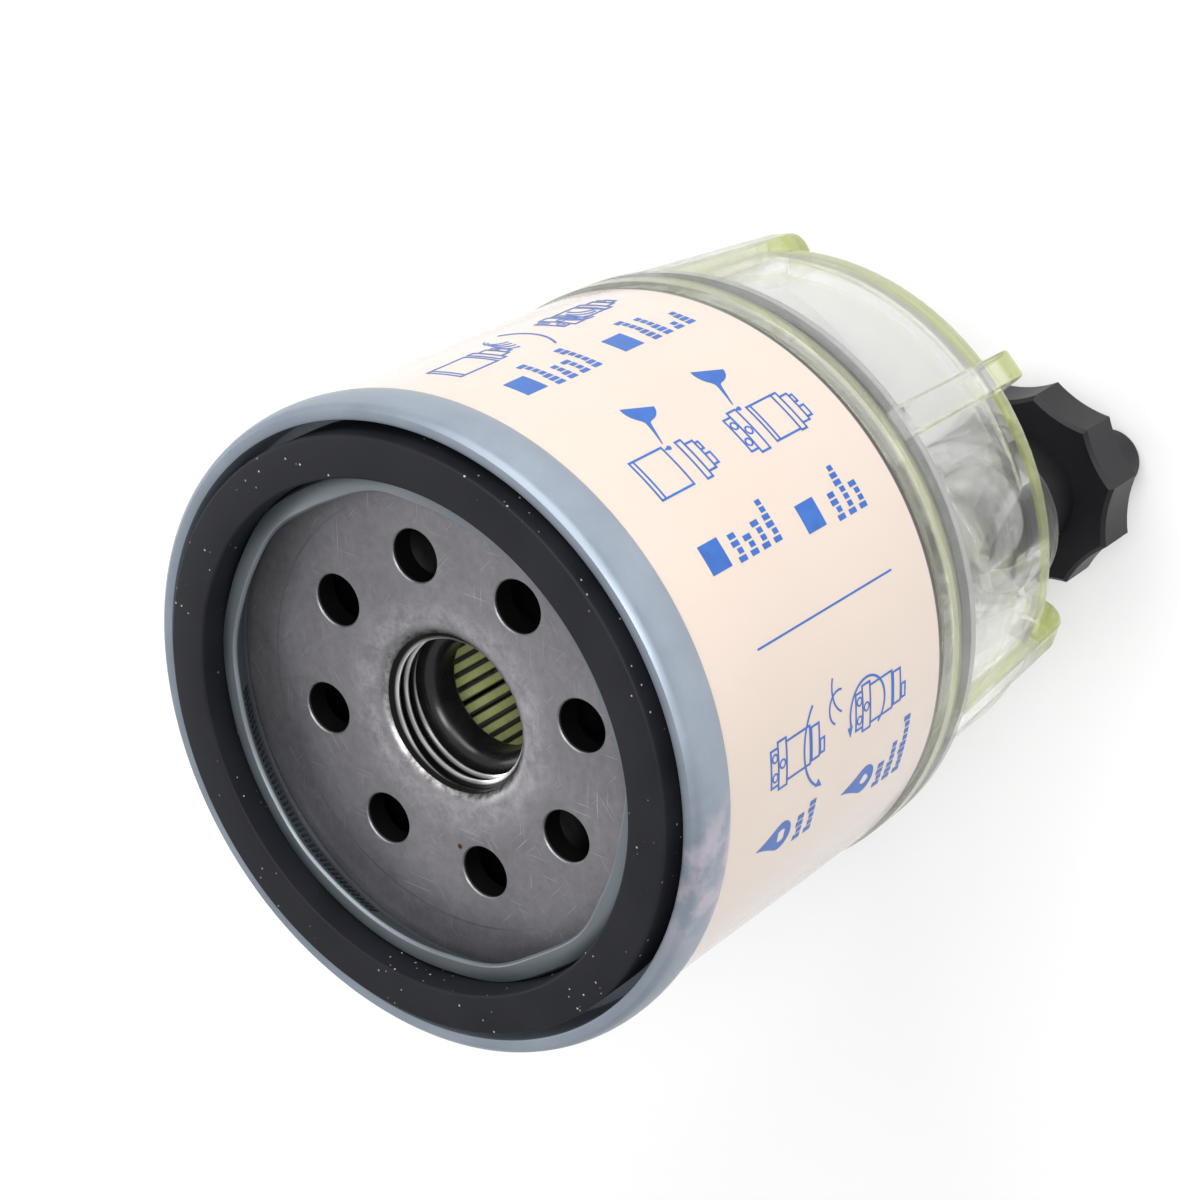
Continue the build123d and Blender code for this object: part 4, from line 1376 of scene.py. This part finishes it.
# %% Tins, feet, heads and arcs
THICK_LINE = 0.3
THIN_LINE = 0.25
TINS = ((-52.4, -7.4, 5.4, 5.8), (-52.6, -29.0, 5.2, 4.8), (-9.7, -6.6, 4.9, 6.4), (-8.0, -29.9, 4.6, 4.2))
FEET = ((-52.4, -15.5, 5.0), (-52.6, -33.8, 5.0), (-9.2, -13.6, 4.4), (-7.8, -34.4, 4.2))
HEADS = ((-52.6, -24.3, 5.3), (-104.6, -7.8, 5.0), (-104.6, -24.7, 5.0), (-8.2, -26.6, 4.8))
CANS_UNDER_HEADS = ((-104.3, 7.6, 4.6, 4.6), (-103.9, 9.4, 4.0, 1.5), (-103.6, 10.4, 1.7, 0.8))
ARCS = ((-101.5, -20.6, 6.4, 42, 148, 20, THICK_LINE), (-101.0, -27.1, 3.6, -140, 112, 30, THICK_LINE),
        (-97.6, -21.4, 2.0, 150, -20, 20, THIN_LINE), (-94.5, -23.4, 3.2, 60, 150, 20, THIN_LINE),
        (-4.5, -14.6, 8.4, -128, -62, 20, THICK_LINE))
ARROWS = ((-110.2, -18.2, 236), (-104.6, -23.6, 185))
WAVES = ((-5.5, -18.6, 0.9, -0.4, 1.7, 170, 20), (-6.0, -31.0, 0.6, -1.0, 1.9, 190, 60))
WAVE_COUNT = 4

for angle, z, wide, tall in TINS:
    tin_sign(at(angle), z, wide, tall)
for angle, z, wide in FEET:
    foot_sign(at(angle), z, wide)
for angle, z, wide in HEADS:
    head_sign(at(angle), z, wide)
for head in HEADS[1:3]:
    for angle, below, wide, tall in CANS_UNDER_HEADS:
        outline_box(at(angle), head[1] - below, wide, tall)
for angle, z, radius, start, end, steps, width in ARCS:
    stroke(arc_points(at(angle), z, radius, start, end, steps), width)
for angle, z, turn in ARROWS:
    arrow_head(at(angle), z, turn)
for angle, z, across, up, radius, start, end in WAVES:
    for k in range(WAVE_COUNT):
        stroke(arc_points(at(angle) + across * k, z + up * k, radius, start, end, 10), THIN_LINE)
print(len(ink), "ink marks")

# %% [markdown]
# The ink is a satin blue, a little uneven where it was printed thin. All the ribbons become one
# mesh, because they are one print.

# %% Print ink
INK_DARK = (0.006, 0.082, 0.36)
INK_LIGHT = (0.012, 0.120, 0.45)


def make_print_ink():
    material, tree, main = shader("print_ink", Roughness=0.35)
    worn = noise(tree, object_place(tree), 500.0, 4.0)
    fill(tree, main, {"Base Color": two_tone(tree, worn, INK_DARK, INK_LIGHT),
                      "Roughness": vary(tree, worn, 0.30, 0.42)})
    return material


def make_print():
    body = bmesh.new()
    for path, widths, closed in ink:
        lay_ribbon(body, path, widths, closed)
    return finished_mesh(body, "print")


piece("printed_signs", make_print(), "element", make_print_ink(), "can_paint")

# %% [markdown]
# The part stands on a plain pale floor in soft studio light. The key light is large and comes
# from the side that was up in the photograph, so that the gloss runs along the can. A smaller
# one fills the threaded end, and a third lights the clear bowl from behind.

# %% Floor and lights
FLOOR_SIZE = 6.0          # metres
FLOOR_GAP = 1.0           # millimetres
FLOOR_DARK = (0.93, 0.93, 0.935)
FLOOR_LIGHT = (0.96, 0.96, 0.96)
WORLD_STRENGTH = 0.60
LIGHTS = (("key", (0.75, -0.25, 0.45), (0, 0, -0.03), (0.8, 0.5), 5.0),
          ("front", (0.16, -0.42, 0.48), (0, 0, -0.03), (0.25, 0.25), 2.4),
          ("back", (0.1, 0.7, 0.3), (0, 0, -0.04), (0.5, 0.3), 1.5))


def make_floor():
    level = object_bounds()[0].z - FLOOR_GAP * MM
    bpy.ops.mesh.primitive_plane_add(size=FLOOR_SIZE, location=(0, 0, level))
    floor = bpy.context.object
    floor.name = "floor"
    material, tree, main = shader("pale_floor", Roughness=0.9, Specular_IOR_Level=0.1)
    soft = noise(tree, object_place(tree), 3.0)
    fill(tree, main, {"Base Color": two_tone(tree, soft, FLOOR_DARK, FLOOR_LIGHT)})
    floor.data.materials.append(material)


def make_light(name, place, aim, size, power):
    data = bpy.data.lights.new(name, "AREA")
    data.shape = "RECTANGLE"
    data.size, data.size_y = size
    data.energy = power
    light = bpy.data.objects.new(name, data)
    bpy.context.scene.collection.objects.link(light)
    light.location = place
    light.rotation_euler = (Vector(aim) - Vector(place)).to_track_quat("-Z", "Y").to_euler()


def make_world():
    world = bpy.data.worlds.new("studio")
    bpy.context.scene.world = world
    world.use_nodes = True
    fill(world.node_tree, world.node_tree.nodes["Background"],
         {"Color": (1.0, 1.0, 1.0, 1.0), "Strength": WORLD_STRENGTH})


make_floor()
make_world()
for light in LIGHTS:
    make_light(*light)
bpy.context.scene.view_settings.view_transform = "Standard"
print("floor and", len(LIGHTS), "lights ready")
